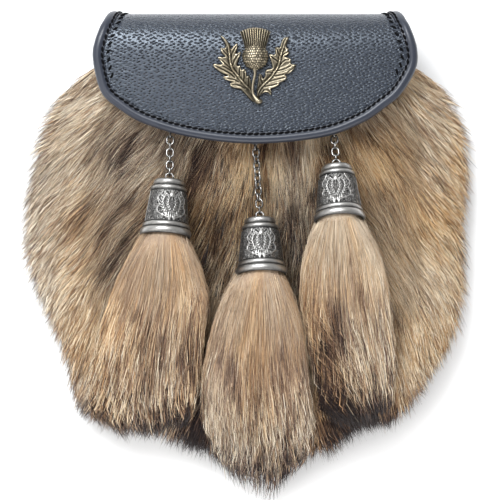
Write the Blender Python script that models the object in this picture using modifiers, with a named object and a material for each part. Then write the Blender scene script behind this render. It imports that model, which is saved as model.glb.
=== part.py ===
# A sporran pouch that lies on its back: a leather pouch with a flap that folds over from the
# back, a pelt on its front, a cast thistle on the flap and three hair tassels in cast cones,
# each on its own chain.
#
# Frame: X to the right, Y towards the fold, Z up, with the origin on the belt loop's outer
# face, in the plane that the pouch rests on. Lengths in this file are millimetres, and become
# metres where vertices are made.

import math

import bmesh
import bpy
import numpy as np
from mathutils import Matrix, Vector

mm = 0.001
clearance = 0.3

# Leather of the back and flap, and the path that it takes over the fold, seen from the side
leather = 2.0
fold_centre_y = 70.0
fold_centre_z = 27.5
fold_reach = 24.0
fold_rise = 25.0
fold_squareness = 3.0
flap_tip_y = 31.6
flap_tip_drop = 1.0
side_droop = 4.0
droop_width = 77.0

# Finished edge of the flap: distance from the fold, half width, and how far the hand-cut
# shape leans to one side
flap_edge = [
    # y, half width, lean
    (31.6, 0.0, 0.0),
    (34.6, 31.0, 0.8),
    (41.3, 52.0, -1.2),
    (48.8, 64.0, -1.9),
    (55.8, 71.8, -1.6),
    (67.5, 77.0, 0.0),
    (77.0, 77.7, 0.0),
    (87.3, 74.5, 0.0),
]
flap_corner_row = 3
ridge_half_width = 69.5
edge_samples = 8
tip_spans = 3
fold_spans = 10
back_spans = 9
cross_points = 9

# Finished edge of the back, from the fold down to the foot
back_edge = [
    # y, half width
    (84.0, 68.6),
    (66.0, 70.6),
    (40.0, 77.0),
    (10.0, 82.0),
    (-18.0, 84.0),
    (-50.0, 80.0),
    (-75.0, 66.5),
    (-88.0, 42.0),
    (-92.0, 0.0),
]
back_corner_row = 6

# Rolled binding round the leather's edge, as a section across it
binding_over = 1.2
binding_section = [
    # out from the edge, off the leather's middle
    (-4.0, 1.45),
    (-2.7, 2.5),
    (0.3, 2.2),
    (1.5, 0.0),
    (0.3, -2.2),
    (-2.7, -2.5),
    (-4.0, -1.45),
    (0.4, -1.45),
    (0.4, 1.45),
]

# Pouch: the leather band round the sides, and the front wall
gusset_leather = 1.4
gusset_inset = 6.7
gusset_height = 28.0
gusset_flange = 6.0
gusset_belly = 2.0
mouth_y = 66.0
panel_leather = 1.6
panel_inset = 6.5
panel_mouth_y = 71.0
panel_bulge = 4.0
panel_centre_y = -10.0
panel_reach = 84.0
gusset_stations = 22
panel_points = 6

# Pelt: its skin, and the outer edge that its hair reaches
skin = 1.2
skin_inset = 4.2
skin_gap = 0.8
fur_top = 41.5
fur_side_loft = 3.0
fur_tip_height = 13.5
fur_centre = (0.0, -8.0)
fur_edge = [
    # x, y, from the right end of the flap round the foot to the left end
    (80.0, 73.0),
    (93.0, 57.0),
    (102.0, 41.0),
    (104.0, 18.0),
    (100.5, -8.0),
    (101.5, -34.0),
    (97.0, -60.0),
    (86.0, -79.0),
    (71.0, -100.0),
    (52.0, -107.0),
    (30.0, -119.0),
    (0.0, -123.0),
    (-24.0, -118.5),
    (-45.0, -110.0),
    (-68.0, -105.5),
    (-85.0, -96.0),
    (-92.0, -70.0),
    (-103.0, -46.0),
    (-111.0, -22.0),
    (-111.0, 10.0),
    (-105.0, 36.0),
    (-92.0, 62.0),
    (-80.0, 73.0),
]
rim_locks = 20
lock_half_width = 12.0
rim_lock_root = 26.0
rim_lock_inner = 11.0
rim_lock_crest = 4.0
inner_locks = [
    # count, half span, tip y in the middle, tip y at the sides, length
    (5, 60.0, -64.0, -28.0, 42.0),
    (5, 64.0, -22.0, 6.0, 42.0),
    (5, 66.0, 14.0, 30.0, 32.0),
]

# Cast cones: where the top lies, how the axis leans and rises, and the links on each chain
cone_height = 28.0
cone_steps = 12
cone_outer_rows = 11
cone_profile = [
    # radius, depth below the top
    (0.0, 0.0),
    (5.8, 0.0),
    (7.3, 1.0),
    (7.1, 3.6),
    (8.7, 4.6),
    (8.5, 6.8),
    (10.6, 21.7),
    (11.4, 22.4),
    (11.1, 24.6),
    (12.3, 25.4),
    (12.1, 27.8),
    (11.2, 28.0),
    (9.9, 18.0),
    (0.0, 18.0),
]
cone_border_angle = 1.2
cone_wreath = [(0.05, 20.6), (0.56, 15.6), (0.40, 8.8)]
cone_thistle = [
    # depth below the cone's top, half width
    (8.0, 1.9),
    (9.4, 1.1),
    (11.2, 1.7),
    (12.6, 0.7),
]

tassels = {
    "left": {
        "top": (-41.0, 15.0, 50.5),
        "lean": -3.7,
        "rise": 11.0,
        "links": 8,
        "anchor_x": -40.6,
        "hair": [
            # y, left, right, underside at least, thickness
            (-25.0, -62.0, -25.5, 44.5, 20.0),
            (-43.0, -70.0, -24.0, 41.5, 17.0),
            (-60.0, -77.0, -26.0, 0.0, 13.5),
            (-75.0, -81.0, -27.5, 0.0, 10.5),
            (-88.0, -83.0, -28.0, 0.0, 8.0),
        ],
        "tip_y": -109.0,
    },
    "centre": {
        "top": (2.3, -3.4, 50.5),
        "lean": 1.5,
        "rise": 13.0,
        "links": 12,
        "anchor_x": 0.0,
        "hair": [
            # y, left, right, underside at least, thickness
            (-44.0, -15.8, 19.7, 44.5, 20.0),
            (-60.0, -20.0, 23.5, 41.5, 17.0),
            (-78.0, -23.0, 25.5, 0.0, 13.5),
            (-90.0, -23.5, 27.0, 0.0, 12.0),
            (-101.0, -22.0, 29.0, 0.0, 10.0),
            (-112.0, -19.0, 30.0, 0.0, 8.0),
        ],
        "tip_y": -135.0,
    },
    "right": {
        "top": (38.9, 21.6, 50.5),
        "lean": 3.0,
        "rise": 18.0,
        "links": 6,
        "anchor_x": 37.6,
        "hair": [
            # y, left, right, underside at least, thickness
            (-18.0, 24.5, 51.0, 44.5, 19.0),
            (-34.0, 22.4, 54.5, 41.5, 15.0),
            (-56.0, 22.6, 59.5, 0.0, 11.0),
            (-78.0, 27.0, 63.0, 0.0, 7.0),
        ],
        "tip_y": -99.0,
    },
}
hair_head_depth = 19.0
hair_head_radius = 9.0
hair_mouth_radius = 10.2
hair_sides = 8
tassel_locks = 4
hair_lift = 3.6

# Chains: oval links of round wire, with an eye at either end
link_wire = 0.375
link_bend = 1.6
link_straight = 0.475
link_pitch = 3.1
eye_wire = 0.45
eye_radius = 1.9
eye_lift = 0.6
anchor_height = 44.3
anchor_post = 1.1
rivet_radius = 3.0
rivet_thickness = 1.0
rivet_hole = 1.6

# From an eye's wire to the middle of the link that hangs in it, and how far a chain is twisted
link_start = link_bend + link_straight - link_wire - eye_wire - clearance
chain_twist = {"left": 0.0, "centre": 42.0, "right": 0.0}

# Press stud that holds the flap down
stud_y = 54.0
stud_cap = 6.0
stud_neck = 2.0
stud_hole = 2.4

# Belt loop across the back, pressed flat
loop_width = 64.0
loop_height = 46.0
loop_leather = 1.2
loop_y = 20.0

# Cast thistle on the flap
badge_plate = 1.0
stem_height = 1.3
left_leaf = [
    # x, y of the outline, from the foot up its outer side and down its inner side
    (0.6, 50.6),
    (-4.6, 54.8),
    (-7.8, 58.4),
    (-11.8, 59.4),
    (-12.0, 61.4),
    (-15.4, 62.6),
    (-15.2, 64.6),
    (-20.0, 68.6),
    (-19.4, 70.6),
    (-15.6, 70.4),
    (-17.8, 73.2),
    (-14.6, 73.6),
    (-16.4, 77.6),
    (-14.4, 78.0),
    (-16.6, 83.0),
    (-12.0, 79.0),
    (-10.8, 75.4),
    (-8.4, 79.2),
    (-8.6, 73.8),
    (-7.0, 73.6),
    (-8.6, 69.6),
    (-6.6, 68.4),
    (-5.4, 63.6),
    (-3.0, 63.8),
    (-1.6, 55.0),
]
left_midrib = [(-0.8, 52.6), (-4.6, 59.6), (-9.6, 66.6), (-12.2, 73.2), (-15.0, 81.0)]
right_leaf = [
    # x, y of the outline, from the foot up its outer side and down its inner side
    (1.0, 50.4),
    (4.6, 55.6),
    (7.8, 55.8),
    (9.2, 60.0),
    (14.8, 63.6),
    (15.2, 65.4),
    (19.4, 68.4),
    (17.2, 69.8),
    (16.6, 72.2),
    (14.6, 73.4),
    (15.6, 75.6),
    (14.2, 77.0),
    (15.6, 82.2),
    (12.4, 80.6),
    (10.4, 76.6),
    (7.0, 74.2),
    (8.4, 70.0),
    (5.4, 67.2),
    (6.0, 63.6),
    (3.4, 61.0),
]
right_midrib = [(1.4, 52.8), (5.4, 60.6), (9.4, 65.5), (11.8, 71.0), (14.2, 80.0)]
stem = [(-0.4, 69.0), (-1.2, 61.0), (-0.8, 55.6), (1.2, 51.6)]
head_centre = (0.2, 73.0)
head_radius = 6.0
head_height = 3.2
tuft_foot_y = 77.6
tuft_top_y = 86.6
tuft_foot_half = 4.6
tuft_top_half = 7.8
tuft_ribs = 6


# Curves and sheets ------------------------------------------------------------------------

def smooth_line(points, samples=8, closed=False):
    """Catmull-Rom curve through the points, with this many samples from one to the next."""
    points = np.array(points, float)
    count = len(points)
    spans = count if closed else count - 1
    curve = []
    for span in range(spans):
        if closed:
            before, start, end, after = (points[(span + k) % count] for k in (-1, 0, 1, 2))
        else:
            start, end = points[span], points[span + 1]
            before = points[span - 1] if span else 2 * start - end
            after = points[span + 2] if span + 2 < count else 2 * end - start
        for step in range(samples):
            t = step / samples
            curve.append(
                0.5
                * (
                    2 * start
                    + (end - before) * t
                    + (2 * before - 5 * start + 4 * end - after) * t**2
                    + (3 * start - before - 3 * end + after) * t**3
                )
            )
    if not closed:
        curve.append(points[-1])
    return np.array(curve)


def evenly(line, count):
    """The line again, as count points at equal distances."""
    steps = np.linalg.norm(np.diff(line, axis=0), axis=1)
    reach = np.concatenate([[0.0], np.cumsum(steps)])
    wanted = np.linspace(0.0, reach[-1], count)
    return np.stack([np.interp(wanted, reach, line[:, k]) for k in range(line.shape[1])], 1)


def left_of(line, closed=False):
    """Unit normals to the left of a line."""
    if closed:
        ahead = np.roll(line, -1, 0) - np.roll(line, 1, 0)
    else:
        ahead = np.gradient(line, axis=0)
    ahead = ahead / np.linalg.norm(ahead, axis=1)[:, None]
    return np.stack([-ahead[:, 1], ahead[:, 0]], 1)


def patch(near, far, left, right):
    """Grid of points between four edges that share their corners, as rows from near to far."""
    rows, columns = len(left), len(near)
    grid = np.zeros((rows, columns, 2))
    for i in range(rows):
        v = i / (rows - 1)
        for j in range(columns):
            u = j / (columns - 1)
            across = (1 - v) * near[j] + v * far[j]
            along = (1 - u) * left[i] + u * right[i]
            corners = (1 - v) * ((1 - u) * near[0] + u * near[-1])
            corners = corners + v * ((1 - u) * far[0] + u * far[-1])
            grid[i, j] = across + along - corners
    return grid


# Objects ----------------------------------------------------------------------------------

def principled(name, color, roughness, metallic=0.0):
    material = bpy.data.materials.new(name)
    material.use_nodes = True
    shader = material.node_tree.nodes["Principled BSDF"]
    shader.inputs["Base Color"].default_value = (*color, 1.0)
    shader.inputs["Roughness"].default_value = roughness
    shader.inputs["Metallic"].default_value = metallic
    material.diffuse_color = (*color, 1.0)
    return material


def add_object(name, mesh, collection, material=None):
    thing = bpy.data.objects.new(name, mesh)
    collection.objects.link(thing)
    if material:
        mesh.materials.append(material)
    return thing


def mesh_from(bm, name):
    """Closes the work on a mesh. Its faces are flat, so that a Boolean can trust them."""
    bmesh.ops.recalc_face_normals(bm, faces=bm.faces)
    bmesh.ops.triangulate(bm, faces=[face for face in bm.faces if len(face.verts) > 3])
    mesh = bpy.data.meshes.new(name)
    bm.to_mesh(mesh)
    bm.free()
    return mesh


def sheet(name, grid, place, thickness, collection, material):
    """A grid of points placed in space, thickened to a wall about that middle surface."""
    rows, columns = grid.shape[:2]
    bm = bmesh.new()
    bmesh.ops.create_grid(bm, x_segments=columns - 1, y_segments=rows - 1, size=1.0)
    bm.verts.ensure_lookup_table()
    for i in range(rows):
        for j in range(columns):
            bm.verts[i * columns + j].co = place(*grid[i, j]) * mm
    thing = add_object(name, mesh_from(bm, name), collection, material)
    wall = thing.modifiers.new("wall", "SOLIDIFY")
    wall.thickness = thickness * mm
    wall.offset = 0.0
    wall.use_even_offset = True
    thing.data.shade_smooth()
    return thing


def loft(rings, closed=False):
    """Mesh through rings of points in millimetres. An open one has flat ends."""
    bm = bmesh.new()
    loops = [[bm.verts.new(Vector(point) * mm) for point in ring] for ring in rings]
    pairs = list(zip(loops, loops[1:]))
    if closed:
        pairs.append((loops[-1], loops[0]))
    for one, other in pairs:
        sides = max(len(one), len(other))
        for k in range(sides):
            corners = [one[k % len(one)], one[(k + 1) % len(one)]]
            corners += [other[(k + 1) % len(other)], other[k % len(other)]]
            bm.faces.new(list(dict.fromkeys(corners)))
    if not closed:
        for end in (loops[0], loops[-1]):
            if len(end) > 2:
                bm.faces.new(end)
    return mesh_from(bm, "loft")


def fuse(thing, pieces, name):
    """Joins the pieces to the thing, as one body."""
    group = helper_collection(name)
    for index, mesh in enumerate(pieces):
        piece = add_object(f"{name}_{index}", mesh, group)
        piece.hide_render = True
        piece.display_type = "WIRE"
        piece.matrix_world = thing.matrix_world
    join = thing.modifiers.new("fuse", "BOOLEAN")
    join.operation = "UNION"
    join.operand_type = "COLLECTION"
    join.collection = group


def fill_pockets(thing):
    """Applies the modifiers, and drops the sealed pockets that crossing locks leave."""
    bpy.context.view_layer.update()
    graph = bpy.context.evaluated_depsgraph_get()
    mesh = bpy.data.meshes.new_from_object(thing.evaluated_get(graph))
    bm = bmesh.new()
    bm.from_mesh(mesh)
    bmesh.ops.triangulate(bm, faces=bm.faces)
    unseen = set(bm.faces)
    while unseen:
        shell, edge = set(), [unseen.pop()]
        while edge:
            face = edge.pop()
            shell.add(face)
            near = {other for side in face.edges for other in side.link_faces}
            edge.extend(near & unseen)
            unseen -= near
        corners = [[vertex.co for vertex in face.verts] for face in shell]
        volume = sum(a.dot(b.cross(c)) for a, b, c in corners)
        if volume < 0:
            bmesh.ops.delete(bm, geom=list(shell), context="FACES")
    bm.to_mesh(mesh)
    bm.free()
    thing.modifiers.clear()
    thing.data = mesh


def cut(thing, cutter):
    hole = thing.modifiers.new("holes", "BOOLEAN")
    hole.operation = "DIFFERENCE"
    hole.object = cutter


def helper_collection(name):
    group = bpy.data.collections.new(name)
    bpy.data.collections["cutters"].children.link(group)
    return group


def turned(profile):
    """A profile of (radius, depth) about Z, with its top at z = 0, as a mesh to be screwed."""
    mesh = bpy.data.meshes.new("profile")
    points = [(radius * mm, 0.0, -depth * mm) for radius, depth in profile]
    mesh.from_pydata(points, [(k, k + 1) for k in range(len(points) - 1)], [])
    return mesh


def screw(thing, steps):
    turn = thing.modifiers.new("turn", "SCREW")
    turn.steps = steps
    turn.render_steps = steps
    turn.use_merge_vertices = True
    turn.merge_threshold = 0.00001
    turn.use_normal_calculate = True


def ring(centre, along, across, radius, wire, sides=10, wire_sides=5):
    """Round eye through the plane of two unit vectors, as rings of points."""
    normal = along.cross(across)
    rings = []
    for k in range(sides):
        angle = 2 * math.pi * k / sides
        out = along * math.cos(angle) + across * math.sin(angle)
        rings.append([
            centre + out * (radius + wire * math.cos(turn)) + normal * wire * math.sin(turn)
            for turn in (2 * math.pi * w / wire_sides for w in range(wire_sides))
        ])
    return rings


def rod(line, radius, sides=5, up=Vector((0.0, 0.0, 1.0))):
    """Round rod through points, as rings."""
    rings = []
    for k, point in enumerate(line):
        ahead = (line[min(k + 1, len(line) - 1)] - line[max(k - 1, 0)]).normalized()
        side = ahead.cross(up).normalized()
        top = side.cross(ahead)
        rings.append([
            point + (side * math.cos(turn) + top * math.sin(turn)) * radius
            for turn in (2 * math.pi * w / sides for w in range(sides))
        ])
    return rings


# The leather's path and outline ------------------------------------------------------------

def leather_path():
    """Middle line of the leather as arrays of y and z, from beyond the flap's tip to the foot."""
    front_y = np.linspace(flap_tip_y - 6.0, fold_centre_y, 30)
    sink = (fold_centre_y - front_y) / (fold_centre_y - flap_tip_y)
    front_z = fold_centre_z + fold_rise - flap_tip_drop * sink**2
    angle = np.linspace(math.pi / 2, -math.pi / 2, 81)[1:-1]
    power = 2 / fold_squareness
    fold_y = fold_centre_y + fold_reach * np.cos(angle) ** power
    fold_z = fold_centre_z + fold_rise * np.sign(np.sin(angle)) * np.abs(np.sin(angle)) ** power
    back_y = np.linspace(fold_centre_y, back_edge[-1][0] - 6.0, 60)
    back_z = np.full(60, fold_centre_z - fold_rise)
    return np.concatenate([front_y, fold_y, back_y]), np.concatenate([front_z, fold_z, back_z])


path_y, path_z = leather_path()
path_run = np.concatenate([[0.0], np.cumsum(np.hypot(np.diff(path_y), np.diff(path_z)))])
ridge = int(np.argmax(path_y))
ridge_run = path_run[ridge]
slope_y = np.gradient(path_y, path_run)
slope_z = np.gradient(path_z, path_run)


def flap_run(y):
    """How far along the leather the flap reaches this y."""
    return float(np.interp(y, path_y[: ridge + 1], path_run[: ridge + 1]))


def back_run(y):
    return float(np.interp(-y, -path_y[ridge:], path_run[ridge:]))


def droop(x, run):
    """How much lower the flap hangs away from its middle."""
    share = min(max((ridge_run - run) / 40.0, 0.0), 1.0)
    return side_droop * (x / droop_width) ** 2 * share * share * (3 - 2 * share)


def on_leather(x, run, lift=0.0):
    """Point of the leather in space, lifted off its middle towards its grain side."""
    y = np.interp(run, path_run, path_y)
    z = np.interp(run, path_run, path_z)
    ahead = Vector((0.0, np.interp(run, path_run, slope_y), np.interp(run, path_run, slope_z)))
    ahead.normalize()
    return Vector((x, y - ahead.z * lift, z + ahead.y * lift - droop(x, run)))


def leather_outline():
    """Finished edge of the spread-out leather as x and run, with the leather on its left."""
    right, left = [], []
    for y, half, lean in flap_edge:
        right.append((lean + half, flap_run(y)))
        left.append((lean - half, flap_run(y)))
    right.append((ridge_half_width, ridge_run))
    left.append((-ridge_half_width, ridge_run))
    for y, half in back_edge:
        right.append((half, back_run(y)))
        left.append((-half, back_run(y)))
    return right + left[-2:0:-1]


def leather_grid():
    """The spread-out leather as a grid, and the same grid's edge as one closed line."""
    line = smooth_line(leather_outline(), edge_samples, closed=True)
    line = line + left_of(line, closed=True) * (binding_over + clearance)
    total = len(line)
    flap_corner = flap_corner_row * edge_samples
    back_corner = (len(flap_edge) + 1 + back_corner_row) * edge_samples
    near = np.concatenate([line[total - flap_corner:], line[: flap_corner + 1]])
    right = line[flap_corner: back_corner + 1]
    far = line[back_corner: total - back_corner + 1][::-1]
    left = line[total - back_corner: total - flap_corner + 1][::-1]
    fold_start, fold_end = flap_run(fold_centre_y + 2.0), back_run(fold_centre_y + 2.0)

    def at_runs(side):
        stops = [side[0, 1], fold_start, fold_end, side[-1, 1]]
        counts = (tip_spans, fold_spans, back_spans)
        runs = [np.linspace(a, b, n + 1)[:-1] for a, b, n in zip(stops, stops[1:], counts)]
        runs = np.concatenate(runs + [[stops[-1]]])
        return np.stack([np.interp(runs, side[:, 1], side[:, 0]), runs], 1)

    near, far = evenly(near, cross_points), evenly(far, cross_points)
    left, right = at_runs(left), at_runs(right)
    edge = np.concatenate([near[:-1], right[:-1], far[:0:-1], left[:0:-1]])
    return patch(near, far, left, right), edge


def back_and_flap(collection):
    material = principled("black_grained_leather", (0.022, 0.024, 0.030), 0.42)
    grid, _ = leather_grid()
    return sheet("back_and_flap", grid, on_leather, leather, collection, material)


def edge_binding(collection):
    material = principled("black_binding", (0.025, 0.027, 0.034), 0.34)
    _, edge = leather_grid()
    normals = -left_of(edge, closed=True)
    rings = [
        [on_leather(*(point + normal * out), lift) for out, lift in binding_section]
        for point, normal in zip(edge, normals)
    ]
    return add_object("edge_binding", loft(rings, closed=True), collection, material)


# The pouch --------------------------------------------------------------------------------

def pouch_line(inset, top_y):
    """Edge of the pouch from its mouth on the right, round the foot, to its mouth on the left."""
    rows = [(half, y) for y, half in back_edge if y <= mouth_y]
    rows[0] = (rows[0][0], mouth_y)
    left = [(-half, y) for half, y in rows[-2::-1]]
    above = [(rows[0][0] - 1.0, top_y + 14.0)]
    controls = above + rows + left + [(-above[0][0], above[0][1])]
    line = smooth_line(controls, 12)
    line = line - left_of(line) * inset
    return line[line[:, 1] <= top_y]


def bulge(x, y):
    """How far the front wall swells above its rim."""
    across = max(0.0, 1 - (x / panel_reach) ** 2)
    along = max(0.0, 1 - ((y - panel_centre_y) / panel_reach) ** 2)
    return panel_bulge * across * along


gusset_foot = fold_centre_z - fold_rise + leather / 2 + clearance
gusset_top = gusset_foot + gusset_height
panel_foot = gusset_top + clearance
skin_foot = panel_foot + panel_leather + skin_gap


def panel_height(x, y):
    return panel_foot + panel_leather / 2 + bulge(x, y)


def skin_height(x, y):
    return skin_foot + skin / 2 + bulge(x, y)


def panel_grid(inset, top_y, columns, rows):
    """Grid of x and y over the pouch's front, between its mouth and its foot."""
    line = pouch_line(inset, top_y)
    corner = int(np.argmin(np.abs(line[: len(line) // 2, 1] - back_edge[back_corner_row][0])))
    right = evenly(line[: corner + 1], rows)[::-1]
    left = evenly(line[len(line) - corner - 1:], rows)
    foot = evenly(line[corner: len(line) - corner], columns)[::-1]
    mouth = np.linspace(left[-1], right[-1], columns)
    return patch(foot, mouth, left, right)


def gusset(collection):
    material = principled("gusset_leather", (0.020, 0.021, 0.026), 0.5)
    line = evenly(pouch_line(gusset_inset, mouth_y), gusset_stations)
    normals = left_of(line)
    wall, flange = gusset_leather, gusset_flange
    middle = (gusset_foot + gusset_top) / 2
    section = [
        (0.0, gusset_foot),
        (gusset_belly, middle),
        (0.0, gusset_top),
        (-flange, gusset_top),
        (-flange, gusset_top - wall),
        (-wall, gusset_top - wall),
        (gusset_belly - wall, middle),
        (-wall, gusset_foot + wall),
        (-flange, gusset_foot + wall),
        (-flange, gusset_foot),
    ]
    rings = []
    for point, normal in zip(line, normals):
        places = [(point + normal * out, z) for out, z in section]
        rings.append([Vector((place[0], place[1], z)) for place, z in places])
    return add_object("gusset", loft(rings), collection, material)


def front_panel(collection, holes):
    material = principled("panel_leather", (0.024, 0.024, 0.028), 0.55)
    grid = panel_grid(panel_inset, panel_mouth_y, panel_points, panel_points)
    place = lambda x, y: Vector((x, y, panel_height(x, y)))
    panel = sheet("front_panel", grid, place, panel_leather, collection, material)
    cut(panel, holes)
    return panel


def press_stud(collection):
    """Turned stud: its head inside the pouch, its cap just under the flap."""
    material = principled("stud_nickel", (0.62, 0.60, 0.56), 0.3, 1.0)
    top = on_leather(0.0, flap_run(stud_y)).z - leather / 2 - clearance
    inside = panel_height(0.0, stud_y) - panel_leather / 2 - 2 * clearance
    profile = [
        (0.0, 0.0),
        (stud_cap - 0.8, 0.0),
        (stud_cap, 0.8),
        (stud_cap, 1.6),
        (stud_neck, 2.6),
        (stud_neck, top - inside),
        (rivet_radius + 1.0, top - inside),
        (rivet_radius + 1.0, top - inside + rivet_thickness),
        (0.0, top - inside + rivet_thickness),
    ]
    stud = add_object("press_stud", turned(profile), collection, material)
    stud.location = Vector((0.0, stud_y, top)) * mm
    screw(stud, 12)
    return stud


def belt_loop(collection):
    material = principled("loop_leather", (0.022, 0.022, 0.026), 0.5)
    bpy.ops.mesh.primitive_cube_add(size=1.0)
    strap = bpy.context.active_object
    strap.name = "belt_loop"
    strap.data.name = strap.name
    strap.data.materials.append(material)
    size = Vector((loop_width, loop_height, loop_leather)) * mm
    strap.data.transform(Matrix.Diagonal((*size, 1.0)))
    back = fold_centre_z - fold_rise - leather / 2
    strap.location = Vector((0.0, loop_y, back - clearance - loop_leather / 2)) * mm
    for group in strap.users_collection:
        group.objects.unlink(strap)
    collection.objects.link(strap)
    return strap


# The pelt ---------------------------------------------------------------------------------

fur_line = smooth_line(fur_edge, 8)
rim_line = pouch_line(skin_inset, panel_mouth_y)


def by_angle(line):
    """Distance of a line from the pelt's middle, against the angle round it from the top."""
    out = line - np.array(fur_centre)
    angle = np.arctan2(out[:, 0], out[:, 1]) % (2 * math.pi)
    order = np.argsort(angle)
    return angle[order], np.hypot(out[:, 0], out[:, 1])[order]


fur_by_angle, rim_by_angle = by_angle(fur_line), by_angle(rim_line)


def overhang(x, y):
    """0 over the skin, rising past its rim to 1 where the hair ends."""
    out = (x - fur_centre[0], y - fur_centre[1])
    angle = math.atan2(*out) % (2 * math.pi)
    rim = float(np.interp(angle, *rim_by_angle))
    reach = float(np.interp(angle, *fur_by_angle))
    return min(max((math.hypot(*out) - rim) / max(reach - rim, 5.0), 0.0), 1.0)


def ramp(value, start, end):
    share = min(max((value - start) / (end - start), 0.0), 1.0)
    return share * share * (3 - 2 * share)


def fur_height(x, y):
    """Upper side of the pelt: level in the middle, fuller at the sides, falling past the rim."""
    side = fur_side_loft * ramp(abs(x), 40.0, 66.0) * ramp(-y, -26.0, -8.0)
    return fur_top + side - (fur_top - fur_tip_height) * overhang(x, y) ** 1.6


def fur_foot(x, y):
    """Lower side of the hair that sticks out past the rim."""
    level = skin_height(x, y)
    return level - (level - fur_tip_height + 2.0) * overhang(x, y)


def lock(stations):
    """A lock of hair from its root to its tip. Stations are x, y, half width, foot and top."""
    line = np.array([station[:2] for station in stations])
    normals = left_of(line)
    rings = []
    for (x, y, half, low, high), normal in zip(stations, normals):
        middle = (low + high) / 2
        if half == 0.0:
            rings.append([Vector((x, y, middle))])
            continue
        rings.append([
            Vector((x + normal[0] * half, y + normal[1] * half, middle)),
            Vector((x, y, high)),
            Vector((x - normal[0] * half, y - normal[1] * half, middle)),
            Vector((x, y, low)),
        ])
    return loft(rings)


def rim_lock(share):
    """Lock that crosses the skin's rim, share of the way round, and ends at the pelt's edge."""
    ruffle = 1 + 0.06 * math.sin(40 * share)
    tip = evenly(fur_line, 201)[round(share * 200)]
    near_end = min(share, 1 - share)
    above = max(near_end - 0.05 * math.cos(math.pi * near_end), 0.4 * near_end)
    rim = evenly(rim_line, 201)[round((above if share < 0.5 else 1 - above) * 200)]
    out = (tip - rim) / np.linalg.norm(tip - rim)
    root = rim - out * rim_lock_root
    inner = rim - out * rim_lock_inner
    crest = rim + out * rim_lock_crest
    outer = rim + (tip - rim) * 0.5
    half = lock_half_width * ruffle * min(1.0, 0.6 + 4 * near_end)
    return lock([
        (*root, 0.0, skin_height(*root), skin_height(*root)),
        (*inner, half * 0.8, skin_height(*inner), fur_height(*inner)),
        (*crest, half, skin_height(*rim) + 1.2, fur_height(*crest)),
        (*outer, half * 0.85, fur_foot(*outer), fur_height(*outer)),
        (*tip, 0.0, fur_tip_height - 2.0, fur_tip_height),
    ])


def inner_lock(across, half_span, middle_y, side_y, length):
    x = across * half_span + 0.9 * math.sin(5 * across + middle_y)
    y = middle_y + (side_y - middle_y) * across * across
    flow = np.array([x * 0.009, -1.0])
    flow = flow / np.linalg.norm(flow)
    tip = np.array([x, y])
    root, upper, lower = (tip - flow * length * share for share in (1.0, 0.66, 0.3))
    return lock([
        (*root, 0.0, skin_height(*root), skin_height(*root)),
        (*upper, lock_half_width * 0.8, skin_height(*upper), fur_height(*upper) - 0.6),
        (*lower, lock_half_width * 0.7, skin_height(*lower), fur_height(*lower)),
        (*tip, 0.0, skin_height(*tip) + 1.2, skin_height(*tip) + 1.2),
    ])


def fur_coat(collection, holes):
    material = principled("pelt", (0.50, 0.37, 0.25), 0.9)
    grid = panel_grid(skin_inset, panel_mouth_y, panel_points, panel_points)
    place = lambda x, y: Vector((x, y, skin_height(x, y)))
    coat = sheet("fur_coat", grid, place, skin, collection, material)
    coat.data.shade_flat()
    locks = [rim_lock(0.03 + 0.94 * k / (rim_locks - 1)) for k in range(rim_locks)]
    for count, half_span, middle_y, side_y, length in inner_locks:
        for k in range(count):
            across = 2 * k / (count - 1) - 1
            locks.append(inner_lock(across, half_span, middle_y, side_y, length))
    fuse(coat, locks, "coat_locks")
    cut(coat, holes)
    fill_pockets(coat)
    return coat


# Cones, chains and hair -------------------------------------------------------------------

class Hanger:
    """Where one cone lies: its top, its axis towards the foot, and the directions across it."""

    def __init__(self, row):
        lean, rise = math.radians(row["lean"]), math.radians(row["rise"])
        flat = Vector((math.sin(lean), -math.cos(lean), 0.0))
        self.top = Vector(row["top"])
        self.axis = flat * math.cos(rise) + Vector((0.0, 0.0, math.sin(rise)))
        self.side = self.axis.cross(Vector((0.0, 0.0, 1.0))).normalized()
        self.face = self.side.cross(self.axis)
        self.eye_top = self.top - self.axis * (eye_lift + eye_radius)

    def frame(self):
        turn = Matrix((self.side, self.face, -self.axis)).transposed()
        if turn.determinant() < 0:
            turn = Matrix((-self.side, self.face, -self.axis)).transposed()
        return Matrix.Translation(self.top * mm) @ turn.to_4x4()


def cone_radius(depth):
    outer = cone_profile[:cone_outer_rows]
    return float(np.interp(depth, [d for _, d in outer], [r for r, _ in outer]))


def on_cone(angle, depth, lift):
    """Point of the cone's panel, in the cone's own frame. Angle 0 faces away from the pelt."""
    radius = cone_radius(depth) + lift
    return Vector((radius * math.sin(angle), radius * math.cos(angle), -depth))


def cone_relief():
    """Raised thistle, its wreath and the panel's two upright borders, as small rods and a knob."""
    pieces = []
    forward = Vector((0.0, 1.0, 0.0))
    for side in (-1, 1):
        wreath = [on_cone(side * angle, depth, 0.0) for angle, depth in cone_wreath]
        border = [on_cone(side * cone_border_angle, depth, 0.0) for depth in (6.8, 22.6)]
        pieces.append(loft(rod(wreath, 0.8, 4, forward)))
        pieces.append(loft(rod(border, 0.45, 4, forward)))
    rings = []
    for depth, width in cone_thistle:
        centre = on_cone(0.0, depth, 0.1)
        turns = [2 * math.pi * k / 6 for k in range(6)]
        rings.append([
            centre + Vector((width * math.cos(t), width * 0.55 * math.sin(t), 0.0)) for t in turns
        ])
    pieces.append(loft(rings))
    return pieces


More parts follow.
